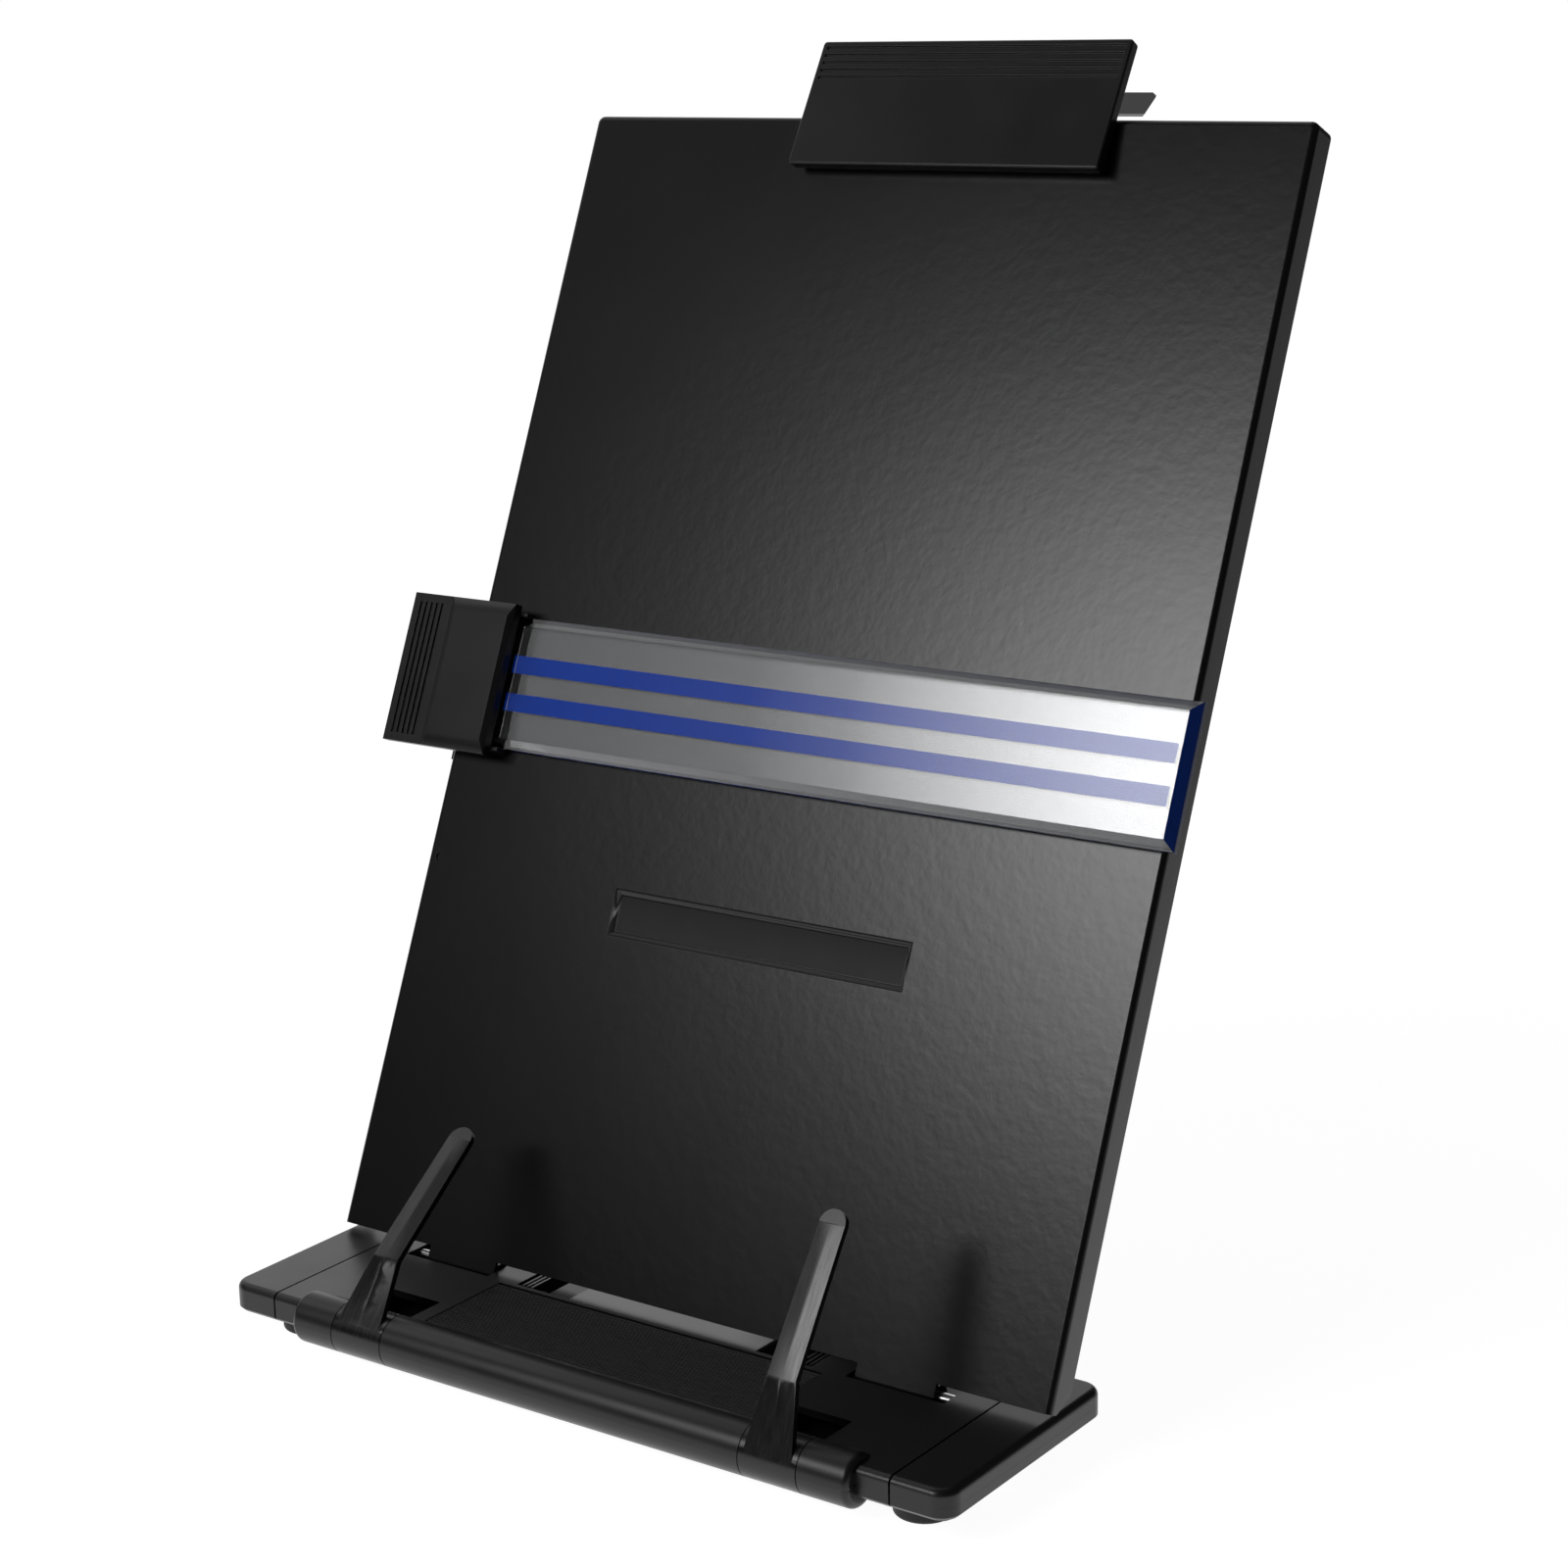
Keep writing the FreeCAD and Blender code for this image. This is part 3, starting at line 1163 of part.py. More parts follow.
def build():
    make_base_lower_shell()
    make_tray_cover()
    for side, word in ((-1, "left"), (1, "right")):
        make_end_cap(side, word)
        make_hinge_parts(side, word)
        make_page_arm(side, word, "arm_" + word + "_angle")
    make_ribbed_insert()
    make_under_plate()
    make_base_screws()
    make_rubber_feet()
    make_arm_axle()
    make_board_panel()
    make_prop_brackets()
    make_prop_leg()
    make_rear_foot()
    make_guide_knob()
    make_guide_jaw()
    make_ruler()
    make_clip_saddle()
    make_clip_plate()
    make_clip_spring()
    doc.recompute()


def check_and_export():
    for thing in doc.Objects:
        if "Invalid" in thing.State or "Error" in thing.State:
            raise RuntimeError(thing.Label + ": " + ", ".join(thing.State))
    for node in nodes:
        if node.Shape.isNull() or not node.Shape.isValid():
            raise RuntimeError(node.Label + ": the shape is not valid")
    for node in nodes:
        node.Shape.exportStep("parts/" + node.Label + ".step")
        print("%-22s solids %d volume %9.1f" % (node.Label, len(node.Shape.Solids),
                                                node.Shape.Volume))


build()
check_and_export()
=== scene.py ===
import json
import math

import bmesh
import bpy
from bpy.props import FloatProperty, FloatVectorProperty, IntProperty, PointerProperty
from mathutils import Matrix, Vector


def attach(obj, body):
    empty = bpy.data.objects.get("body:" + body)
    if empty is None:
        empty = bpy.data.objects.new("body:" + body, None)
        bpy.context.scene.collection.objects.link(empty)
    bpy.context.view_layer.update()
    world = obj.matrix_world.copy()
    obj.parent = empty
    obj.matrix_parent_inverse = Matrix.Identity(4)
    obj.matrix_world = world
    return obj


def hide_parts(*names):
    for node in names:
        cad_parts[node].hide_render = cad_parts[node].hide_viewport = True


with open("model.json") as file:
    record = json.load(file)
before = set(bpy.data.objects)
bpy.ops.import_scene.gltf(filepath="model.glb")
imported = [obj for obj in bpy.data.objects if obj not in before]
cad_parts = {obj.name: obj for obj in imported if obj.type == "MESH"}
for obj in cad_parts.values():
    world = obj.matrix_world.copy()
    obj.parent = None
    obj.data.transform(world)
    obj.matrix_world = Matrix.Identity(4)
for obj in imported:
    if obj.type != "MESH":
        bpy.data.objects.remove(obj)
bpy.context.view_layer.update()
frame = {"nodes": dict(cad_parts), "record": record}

bl_info = {
    "name": "Copy holder with line guide",
    "version": (1, 0, 0),
    "blender": (4, 5, 0),
    "location": "View3D > Sidebar > Copy holder",
    "description": (
        "A leaning steel board on a low base, with a clear line guide, clip and page arms"),
    "category": "Object",
}

MILLIMETRE = 0.001

# Frame of the board: origin in its hinge, X to the right, Y to the back of the sheet, Z up it
TILT = math.radians(23.4)
HINGE_HEIGHT = 0.011
BOARD_FRAME = Matrix.Translation((0, 0, HINGE_HEIGHT)) @ Matrix.Rotation(-TILT, 4, "X")
BOARD_TO_FLAT = BOARD_FRAME.inverted()

# The recess pressed into the board, in the frame of the board
RECESS_MIDDLE = 0.0011
RECESS_HALF_WIDTH = 0.0435
RECESS_LOW = 0.088
RECESS_HIGH = 0.0992
RECESS_BACK = -0.0011
RECESS_RIM = 0.0025
RECESS_FLOOR_DEPTH = 0.001
RIM_FOLD = math.radians(12)
RIM_STEPS = 4
LEVEL_FACE = -0.99


# Sizes and colours that a user may change

class HolderEdges(bpy.types.PropertyGroup):
    moulded: FloatProperty(
        name="Moulded edge", description="Edge round of the plastic mouldings",
        default=0.25 * MILLIMETRE, min=0, unit="LENGTH")
    fine: FloatProperty(
        name="Fine edge", description="Edge round of the grooved grips",
        default=0.15 * MILLIMETRE, min=0, unit="LENGTH")
    small: FloatProperty(
        name="Small edge", description="Edge round of thin ribs, pins and screws",
        default=0.1 * MILLIMETRE, min=0, unit="LENGTH")
    pressed: FloatProperty(
        name="Pressed edge", description="Edge round of the recess pressed into the board",
        default=0.55 * MILLIMETRE, min=0, unit="LENGTH")
    polished: FloatProperty(
        name="Polished edge", description="Edge round of the clear ruler",
        default=0.12 * MILLIMETRE, min=0, unit="LENGTH")
    segments: IntProperty(
        name="Segments", description="Steps in each edge round", default=2, min=1, max=6)


class HolderFinish(bpy.types.PropertyGroup):
    paint: FloatVectorProperty(
        name="Board paint", description="Satin black enamel", subtype="COLOR",
        default=(0.003, 0.003, 0.0034), min=0, max=1)
    recess: FloatVectorProperty(
        name="Recess floor", description="Matte floor of the pressed recess",
        subtype="COLOR", default=(0.011, 0.011, 0.0118), min=0, max=1)
    casing: FloatVectorProperty(
        name="Base plastic", description="Textured plastic of the base", subtype="COLOR",
        default=(0.006, 0.006, 0.0065), min=0, max=1)
    insert: FloatVectorProperty(
        name="Tray strip", description="Matte plastic of the ribbed strip", subtype="COLOR",
        default=(0.006, 0.006, 0.0063), min=0, max=1)
    arm: FloatVectorProperty(
        name="Page arms", description="Smooth plastic of the page arms", subtype="COLOR",
        default=(0.006, 0.006, 0.0065), min=0, max=1)
    grip: FloatVectorProperty(
        name="Grips", description="Plastic of the knob and the clip", subtype="COLOR",
        default=(0.0065, 0.0065, 0.007), min=0, max=1)
    rubber: FloatVectorProperty(
        name="Rubber", description="Feet and clip pad", subtype="COLOR",
        default=(0.016, 0.016, 0.016), min=0, max=1)
    ink: FloatVectorProperty(
        name="Stripe ink", description="Blue of the stripes", subtype="COLOR",
        default=(0.003, 0.05, 0.4), min=0, max=1)
    clear: FloatVectorProperty(
        name="Clear plastic", description="Tint of the clear ruler", subtype="COLOR",
        default=(0.97, 0.98, 1.0), min=0, max=1)
    steel: FloatVectorProperty(
        name="Steel", description="Plain steel of springs and screws", subtype="COLOR",
        default=(0.42, 0.42, 0.43), min=0, max=1)
    chrome: FloatVectorProperty(
        name="Bright steel", description="Plated pins and rods", subtype="COLOR",
        default=(0.62, 0.62, 0.63), min=0, max=1)


class HolderStage(bpy.types.PropertyGroup):
    lens: FloatProperty(
        name="Lens", description="Focal length in millimetres", default=73.053, min=10)
    camera_place: FloatVectorProperty(
        name="Camera place", description="Where the camera stands", subtype="TRANSLATION",
        unit="LENGTH", default=(0.4358, -0.55516, 0.3177))
    camera_turn: FloatVectorProperty(
        name="Camera turn", description="Angles of the camera", subtype="EULER",
        unit="ROTATION", default=tuple(math.radians(a) for a in (76.0828, 1.0893, 35.5237)))
    key_power: FloatProperty(
        name="Long softbox", description="Radiance of its bright spot", default=8.7, min=0)
    key_azimuth: FloatProperty(
        name="Softbox side", description="Middle of the softbox, to the left of the front",
        unit="ROTATION", default=math.radians(31))
    key_elevation: FloatProperty(
        name="Softbox height", description="Middle of the softbox above the horizon",
        unit="ROTATION", default=math.radians(28))
    key_distance: FloatProperty(
        name="Softbox distance", description="From the middle of the board",
        unit="LENGTH", default=1.2)
    key_length: FloatProperty(
        name="Softbox length", description="Long side", unit="LENGTH", default=1.2)
    key_height: FloatProperty(
        name="Softbox width", description="Short side", unit="LENGTH", default=0.78)
    top_power: FloatProperty(
        name="Top light", description="Radiance of the light overhead", default=0.2, min=0)
    left_power: FloatProperty(
        name="Left light", description="Radiance of the small light high at the left",
        default=0.8, min=0)
    back_power: FloatProperty(
        name="Back light", description="Radiance of the low light behind", default=0.6, min=0)
    room: FloatProperty(
        name="Room", description="Strength of the grey room round the light", default=0.05, min=0)
    backdrop: FloatProperty(
        name="Backdrop", description="Strength of the white background", default=1.0, min=0)
    floor_share: FloatProperty(
        name="Floor white", description="Share of the floor that stays white in shadow",
        default=0.75, min=0, max=1)
    floor_glow: FloatProperty(
        name="Floor brightness", description="Strength of the white of the floor",
        default=1.28, min=1)


def edges():
    return bpy.context.scene.holder_edges


def finish_colours():
    return bpy.context.scene.holder_finish


def stage_settings():
    return bpy.context.scene.holder_stage


# Materials

# Parts of the noise range that give the full change of gloss, colour and streaks
GLOSS_NOISE = (0.1, 0.9)
COLOUR_NOISE = (0.15, 0.85)
STREAK_NOISE = (0.25, 0.75)
STREAK_GLOSS = (0.2, 0.3)
# Darkening of the stripe blue that is painted on the ruler's free end as a painted reflection of
# the stripes
STRIPE_REFLECTION_SHADE = 0.4


def new_material(name):
    """A new material, its node tree and its shader."""
    material = bpy.data.materials.new(name)
    material.use_nodes = True
    tree = material.node_tree
    return material, tree, tree.nodes["Principled BSDF"]


def add_node(tree, kind, **values):
    """A node whose inputs, or else settings, have the given values."""
    node = tree.nodes.new(kind)
    for name, value in values.items():
        if name in node.inputs:
            node.inputs[name].default_value = value
        else:
            setattr(node, name, value)
    return node


def add_math(tree, operation, *sources):
    """A maths node whose inputs are sockets or plain numbers."""
    node = add_node(tree, "ShaderNodeMath", operation=operation)
    for socket, source in zip(node.inputs, sources):
        if isinstance(source, (int, float)):
            socket.default_value = source
        else:
            tree.links.new(source, socket)
    return node.outputs["Value"]


def map_range(tree, source, start, end, low=0.0, high=1.0):
    """Takes the source from one range of values to another."""
    node = add_node(tree, "ShaderNodeMapRange")
    for name, value in (("From Min", start), ("From Max", end), ("To Min", low), ("To Max", high)):
        node.inputs[name].default_value = value
    tree.links.new(source, node.inputs["Value"])
    return node.outputs["Result"]


def object_noise(tree, scale, detail=2.0, stretch=(1, 1, 1)):
    """Noise in the object's own coordinates."""
    place = add_node(tree, "ShaderNodeTexCoord")
    turn = add_node(tree, "ShaderNodeMapping")
    turn.inputs["Scale"].default_value = stretch
    noise = add_node(tree, "ShaderNodeTexNoise", Scale=scale, Detail=detail)
    tree.links.new(place.outputs["Object"], turn.inputs["Vector"])
    tree.links.new(turn.outputs["Vector"], noise.inputs["Vector"])
    return noise


def grain(tree, shader, layers):
    """Bumps one above another, each with its noise scale, height and detail."""
    below = None
    for scale, height, detail in layers:
        noise = object_noise(tree, scale, detail)
        bump = add_node(tree, "ShaderNodeBump", Strength=1.0, Distance=height)
        tree.links.new(noise.outputs["Fac"], bump.inputs["Height"])
        if below:
            tree.links.new(below.outputs["Normal"], bump.inputs["Normal"])
        below = bump
    tree.links.new(below.outputs["Normal"], shader.inputs["Normal"])


def uneven_gloss(tree, shader, scale, low, high, detail=3.0):
    """Roughness that wanders between two values."""
    noise = object_noise(tree, scale, detail)
    gloss = map_range(tree, noise.outputs["Fac"], *GLOSS_NOISE, low, high)
    tree.links.new(gloss, shader.inputs["Roughness"])


def shade_colour(tree, shader, colour, scale, change):
    """Base colour that varies a little round the given one."""
    noise = object_noise(tree, scale, 4.0)
    ramp = add_node(tree, "ShaderNodeValToRGB")
    shades = zip(ramp.color_ramp.elements, COLOUR_NOISE, (1 - change, 1 + change))
    for element, position, factor in shades:
        element.position = position
        element.color = [c * factor for c in colour] + [1]
    tree.links.new(noise.outputs["Fac"], ramp.inputs["Fac"])
    tree.links.new(ramp.outputs["Color"], shader.inputs["Base Color"])


def board_paint():
    material, tree, shader = new_material("satin_black_paint")
    shade_colour(tree, shader, finish_colours().paint, 60, 0.12)
    uneven_gloss(tree, shader, 35, 0.21, 0.235)
    grain(tree, shader, [(300, 2.4e-5, 1.0), (750, 1.2e-5, 2.0)])
    return material


def recess_floor():
    material, tree, shader = new_material("recess_matte_black")
    shade_colour(tree, shader, finish_colours().recess, 120, 0.08)
    shader.inputs["Specular IOR Level"].default_value = 0.25
    uneven_gloss(tree, shader, 150, 0.42, 0.5)
    grain(tree, shader, [(1600, 1e-6, 2.0)])
    return material


def textured_plastic(name, colour, rough, fine, specular=0.5):
    """Black plastic with the fine spark-eroded grain of a mould."""
    material, tree, shader = new_material(name)
    shade_colour(tree, shader, colour, 90, 0.1)
    shader.inputs["Specular IOR Level"].default_value = specular
    uneven_gloss(tree, shader, 70, rough - 0.04, rough + 0.04)
    grain(tree, shader, [(1500, fine, 2.0), (3800, fine * 0.5, 2.0)])
    return material


def streaked_plastic():
    """Smooth plastic with faint streaks along the page arms."""
    material, tree, shader = new_material("page_arm_plastic")
    shade_colour(tree, shader, finish_colours().arm, 90, 0.1)
    streaks = object_noise(tree, 160, 3.0, (8, 1, 1))
    gloss = map_range(tree, streaks.outputs["Fac"], *STREAK_NOISE, *STREAK_GLOSS)
    tree.links.new(gloss, shader.inputs["Roughness"])
    grain(tree, shader, [(1500, 1.5e-6, 2.0)])
    return material


def clear_plastic():
    material, tree, shader = new_material("clear_acrylic")
    shader.inputs["Base Color"].default_value = (*finish_colours().clear, 1)
    shader.inputs["Transmission Weight"].default_value = 1.0
    shader.inputs["IOR"].default_value = 1.58
    uneven_gloss(tree, shader, 500, 0.01, 0.025)
    return material


# The ruler's free end painted a darker stripe blue: a painted reflection of the stripes seen in
# the end bevel
def painted_stripe_reflection():
    material, tree, shader = new_material("ruler_end_painted_stripe_reflection")
    shade_colour(tree, shader, [c * STRIPE_REFLECTION_SHADE for c in finish_colours().ink], 300, 0.1)
    uneven_gloss(tree, shader, 400, 0.1, 0.16)
    return material


def stripe_ink():
    material, tree, shader = new_material("blue_stripe_ink")
    shade_colour(tree, shader, finish_colours().ink, 400, 0.05)
    shader.inputs["Specular IOR Level"].default_value = 0
    uneven_gloss(tree, shader, 600, 0.6, 0.7)
    return material


def soft_rubber():
    material, tree, shader = new_material("black_rubber")
    shade_colour(tree, shader, finish_colours().rubber, 200, 0.15)
    uneven_gloss(tree, shader, 150, 0.55, 0.7)
    grain(tree, shader, [(1200, 6e-6, 2.0)])
    return material


def steel(name, colour, rough):
    material, tree, shader = new_material(name)
    shader.inputs["Metallic"].default_value = 1.0
    shade_colour(tree, shader, colour, 250, 0.08)
    uneven_gloss(tree, shader, 600, rough * 0.8, rough * 1.25)
    grain(tree, shader, [(900, 1.5e-6, 2.0)])
    return material


def shared(maker, *args):
    """Makes each material once."""
    key = maker.__name__ + (args[0] if args else "")
    if key not in shared.made:
        shared.made[key] = maker(*args)
    return shared.made[key]


shared.made = {}


def finish_for(slot):
    """The material of a slot of the record."""
    look = finish_colours()
    makers = {
        "black_paint": (board_paint,),
        "case_plastic": (textured_plastic, "casing_plastic", look.casing, 0.34, 8e-6),
        "insert_plastic": (textured_plastic, "tray_strip_plastic", look.insert, 0.5, 4e-6),
        "arm_plastic": (streaked_plastic,),
        "grip_plastic": (textured_plastic, "grip_plastic", look.grip, 0.3, 2.5e-6),
        "clear_plastic": (clear_plastic,),
        "blue_ink": (stripe_ink,),
        "rubber": (soft_rubber,),
        "plain_steel": (steel, "plain_steel", look.steel, 0.32),
        "bright_steel": (steel, "bright_steel", look.chrome, 0.16),
    }
    return shared(*makers[slot])


# Meshes

MERGE = 2e-6
FLAT = math.radians(0.4)
SHARP = math.radians(28)
SMOOTH = math.radians(38)


def joined_copy(node):
    """The node's surface as one closed mesh, its flat faces made whole."""
    bm = bmesh.new()
    bm.from_mesh(frame["nodes"][node].data)
    bmesh.ops.remove_doubles(bm, verts=bm.verts, dist=MERGE)
    bmesh.ops.dissolve_limit(bm, angle_limit=FLAT, verts=bm.verts, edges=bm.edges)
    return bm


def sharp_edges(bm, angle=SHARP):
    return [e for e in bm.edges if len(e.link_faces) == 2 and e.calc_face_angle() > angle]


def round_edges(bm, picked, width, segments):
    if not picked or width <= 0:
        return
    bmesh.ops.bevel(bm, geom=picked, offset=width, offset_type="OFFSET", segments=segments,
                    profile=0.5, affect="EDGES", material=-1, clamp_overlap=True)


def finished(bm, name, body, slot, replaced, materials=None):
    """Makes the piece, shades it and puts it on its body in the place of its CAD node."""
    mesh = bpy.data.meshes.new(name)
    bm.to_mesh(mesh)
    bm.free()
    for material in materials or [finish_for(slot)]:
        mesh.materials.append(material)
    for face in mesh.polygons:
        face.use_smooth = True
    mesh.set_sharp_from_angle(angle=SMOOTH)
    piece = bpy.data.objects.new(name, mesh)
    bpy.context.scene.collection.objects.link(piece)
    weighted = piece.modifiers.new("even_shading", "WEIGHTED_NORMAL")
    weighted.keep_sharp = True
    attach(piece, body)
    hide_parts(*replaced)
    return piece


def body_of(node):
    for body, members in frame["record"]["behaviour"]["bodies"].items():
        if node in members:
            return body
    raise RuntimeError("no body holds " + node)


def dress(node, slot, width):
    """A piece with the node's own shape, its edges rounded."""
    bm = joined_copy(node)
    round_edges(bm, sharp_edges(bm), width, edges().segments)
    return finished(bm, node + "_piece", body_of(node), slot, [node])


# Operators, one for each group of pieces

class HolderOperator:
    bl_options = {"REGISTER", "UNDO"}

    @classmethod
    def poll(cls, context):
        return context.scene is not None


def rear_foot():
    """The long foot with its tongue, in a shinier plastic than the casing."""
    bm = joined_copy("rear_foot")
    round_edges(bm, sharp_edges(bm), edges().moulded, edges().segments)
    shiny = shared(textured_plastic, "foot_plastic", finish_colours().casing, 0.3, 3e-6, 1.0)
    finished(bm, "rear_foot_piece", "base", "case_plastic", ["rear_foot"], [shiny])


class COPYHOLDER_OT_base(HolderOperator, bpy.types.Operator):
    """Makes the casing of the base, with its rear foot and hinge blocks"""

    bl_idname = "copyholder.base"
    bl_label = "Base casing"

    def execute(self, context):
        for node in ("tray_cover", "end_cap_left", "end_cap_right", "base_lower_shell",
                     "hinge_saddle_left", "hinge_saddle_right"):
            dress(node, "case_plastic", edges().moulded)
        rear_foot()
        dress("ribbed_tray_insert", "insert_plastic", edges().small)
        dress("under_plate", "black_paint", edges().small)
        return {"FINISHED"}


class COPYHOLDER_OT_feet(HolderOperator, bpy.types.Operator):
    """Makes the rubber feet and pads under the base"""

    bl_idname = "copyholder.feet"
    bl_label = "Feet"

    def execute(self, context):
        for node in ("rubber_feet", "centre_pad", "heel_pad"):
            dress(node, "rubber", edges().moulded)
        return {"FINISHED"}


ROLL_AXIS = Vector((0, -0.0398, 0.0086))
HUB_REACH = 0.009
RIDGE_NEAR = 0.0001
RIDGE_DROP = 0.00028


def page_arm(node):
    """A page arm with its low ridge softened along the blade."""
    bm = joined_copy(node)
    bm.normal_update()
    sides = [v.co.x for v in bm.verts]
    middle = (min(sides) + max(sides)) / 2
    for vert in bm.verts:
        off_axis = (vert.co - ROLL_AXIS).yz.length
        if abs(vert.co.x - middle) < RIDGE_NEAR and off_axis > HUB_REACH and vert.normal.y < 0:
            vert.co -= vert.normal * RIDGE_DROP
    round_edges(bm, sharp_edges(bm), edges().moulded, edges().segments)
    finished(bm, node + "_piece", body_of(node), "arm_plastic", [node])


class COPYHOLDER_OT_page_arms(HolderOperator, bpy.types.Operator):
    """Makes the two page arms that turn on the roll"""

    bl_idname = "copyholder.page_arms"
    bl_label = "Page arms"

    def execute(self, context):
        for node in ("page_arm_left", "page_arm_right"):
            page_arm(node)
        return {"FINISHED"}


def in_recess(point, margin):
    """True if a point of the board lies within the pressed recess, or near it."""
    place = BOARD_TO_FLAT @ point
    return (abs(place.x - RECESS_MIDDLE) < RECESS_HALF_WIDTH + margin
            and RECESS_LOW - margin < place.z < RECESS_HIGH + margin
            and place.y < RECESS_BACK)


def press_recess(bm):
    """Softens the rim of the recess and marks its floor with the second material."""
    rim = [e for e in sharp_edges(bm, RIM_FOLD)
           if all(in_recess(v.co, RECESS_RIM) for v in e.verts)]
    face = min((BOARD_TO_FLAT @ v.co).y for e in rim for v in e.verts)
    outer = [e for e in rim if all((BOARD_TO_FLAT @ v.co).y < face + MERGE for v in e.verts)]
    round_edges(bm, outer, edges().pressed, RIM_STEPS)
    turn = BOARD_TO_FLAT.to_3x3()
    for each in bm.faces:
        middle = each.calc_center_median()
        level = (turn @ each.normal).y < LEVEL_FACE
        deep = (BOARD_TO_FLAT @ middle).y > face + RECESS_FLOOR_DEPTH
        if level and deep and in_recess(middle, 0):
            each.material_index = 1


class COPYHOLDER_OT_board(HolderOperator, bpy.types.Operator):
    """Makes the folded steel board with its pressed recess"""

    bl_idname = "copyholder.board"
    bl_label = "Board"

    def execute(self, context):
        bm = joined_copy("board_panel")
        press_recess(bm)
        away = [e for e in sharp_edges(bm) if not in_recess(e.verts[0].co, RECESS_RIM)]
        round_edges(bm, away, edges().small, edges().segments)
        finished(bm, "board_panel_sheet", "board", "black_paint", ["board_panel"],
                 [finish_for("black_paint"), shared(recess_floor)])
        for node in ("prop_bracket_left", "prop_bracket_right"):
            dress(node, "black_paint", edges().small)
        return {"FINISHED"}


class COPYHOLDER_OT_prop(HolderOperator, bpy.types.Operator):
    """Makes the pressed leg that props the board"""

    bl_idname = "copyholder.prop"
    bl_label = "Prop"

    def execute(self, context):
        dress("prop_leg", "black_paint", edges().small)
        return {"FINISHED"}


RULER_END_BEVEL = 0.004
END_FACING = 0.3
INK_SINK = 0.00004


def ruler_stripes():
    """The two stripes, their front faces just inside the clear plastic."""
    bm = joined_copy("ruler_stripes")
    front = min((BOARD_TO_FLAT @ v.co).y for v in bm.verts)
    moved = [v for v in bm.verts if (BOARD_TO_FLAT @ v.co).y < front + MERGE]
    forward = BOARD_FRAME.to_3x3() @ Vector((0, -INK_SINK, 0))
    bmesh.ops.translate(bm, verts=moved, vec=forward)
    finished(bm, "ruler_stripes_piece", "line_guide", "blue_ink", ["ruler_stripes"])


def clear_ruler():
    """The clear ruler, its free end painted a darker stripe blue over the whole face, a painted
    reflection of the stripes.
    """
    bm = joined_copy("clear_ruler")
    round_edges(bm, sharp_edges(bm), edges().polished, edges().segments)
    bm.normal_update()
    end = max(v.co.x for v in bm.verts)
    # Faces of the free end get the painted reflection of the stripes
    for face in bm.faces:
        if face.normal.x > END_FACING and face.calc_center_median().x > end - RULER_END_BEVEL:
            face.material_index = 1
    finished(bm, "clear_ruler_piece", "line_guide", "clear_plastic", ["clear_ruler"],
             [finish_for("clear_plastic"), shared(painted_stripe_reflection)])


class COPYHOLDER_OT_line_guide(HolderOperator, bpy.types.Operator):
    """Makes the knob, its back jaw and the clear striped ruler"""

    bl_idname = "copyholder.line_guide"
    bl_label = "Line guide"

    def execute(self, context):
        for node in ("guide_knob", "guide_back_jaw"):
            dress(node, "grip_plastic", edges().fine)
        clear_ruler()
        ruler_stripes()
        return {"FINISHED"}


class COPYHOLDER_OT_clip(HolderOperator, bpy.types.Operator):
    """Makes the sprung clip on the top edge"""

    bl_idname = "copyholder.clip"
    bl_label = "Top clip"

    def execute(self, context):
        for node in ("clip_plate", "clip_saddle"):
            dress(node, "grip_plastic", edges().fine)
        dress("clip_pad", "rubber", edges().moulded)
        return {"FINISHED"}


class COPYHOLDER_OT_hardware(HolderOperator, bpy.types.Operator):
    """Makes the pins, rods, screws, rivets, washers and springs"""

    bl_idname = "copyholder.hardware"
    bl_label = "Metal parts"

    def execute(self, context):
        for node in ("hinge_pin_left", "hinge_pin_right", "arm_axle", "prop_pivot_rod",
                     "prop_foot_rod", "clip_pin"):
            dress(node, "bright_steel", edges().small)
        for node in ("base_screws", "arm_washers", "bracket_rivets", "guide_screws",
                     "guide_brake_spring"):
            dress(node, "plain_steel", edges().small)
        dress("clip_spring", "plain_steel", 0)
        return {"FINISHED"}


# Stage

FLOOR_SIZE = 30.0
FLOOR_DROP = 0.00015
FLOOR_NEAR = 0.25
FLOOR_FAR = 0.7
BOARD_MIDDLE = 0.15
SENSOR_WIDTH = 36
TOP_LIGHT_SIZE = (1.5, 1.5)
TOP_LIGHT_PLACE = Vector((-0.6, 0.2, 1.5))
LEFT_LIGHT_SIZE = (0.4, 0.4)
LEFT_LIGHT_PLACE = Vector((-0.83, -0.16, 0.84))
BACK_LIGHT_SIZE = (1.8, 0.7)
BACK_LIGHT_PLACE = Vector((-1.2, 1.7, 0.6))


def new_light(name, radiance, width, height, place, target):
    """A rectangular light that the camera doesn't see."""
    lamp = bpy.data.lights.new(name, "AREA")
    lamp.shape = "RECTANGLE"
    lamp.size = width
    lamp.size_y = height
    lamp.energy = radiance * math.pi * width * height
    light = bpy.data.objects.new(name, lamp)
    light.location = place
    light.rotation_euler = (place - target).to_track_quat("Z", "Y").to_euler()
    light.visible_camera = False
    bpy.context.scene.collection.objects.link(light)
    return light


# Brightness of the softbox by distance from its bright spot, as a share of its reach
SOFTBOX_PROFILE = ((0.0, 1.0), (0.1, 1.0), (0.19, 0.85), (0.33, 0.48), (0.46, 0.17),
                   (0.56, 0.06), (0.7, 0.03), (0.85, 0.012), (1.0, 0.006))
SOFTBOX_REACH = 0.6
BRIGHT_SPOT = (0.147, 0.042)
RIGHT_SIDE_STRETCH = 0.5
TOP_SQUEEZE = 1.4


def two_slopes(tree, source, below, above):
    """The source times one number where it is negative, and another where it is positive."""
    straight = add_math(tree, "MULTIPLY", source, (above + below) / 2)
    folded = add_math(tree, "MULTIPLY", add_math(tree, "ABSOLUTE", source), (above - below) / 2)
    return add_math(tree, "ADD", straight, folded)


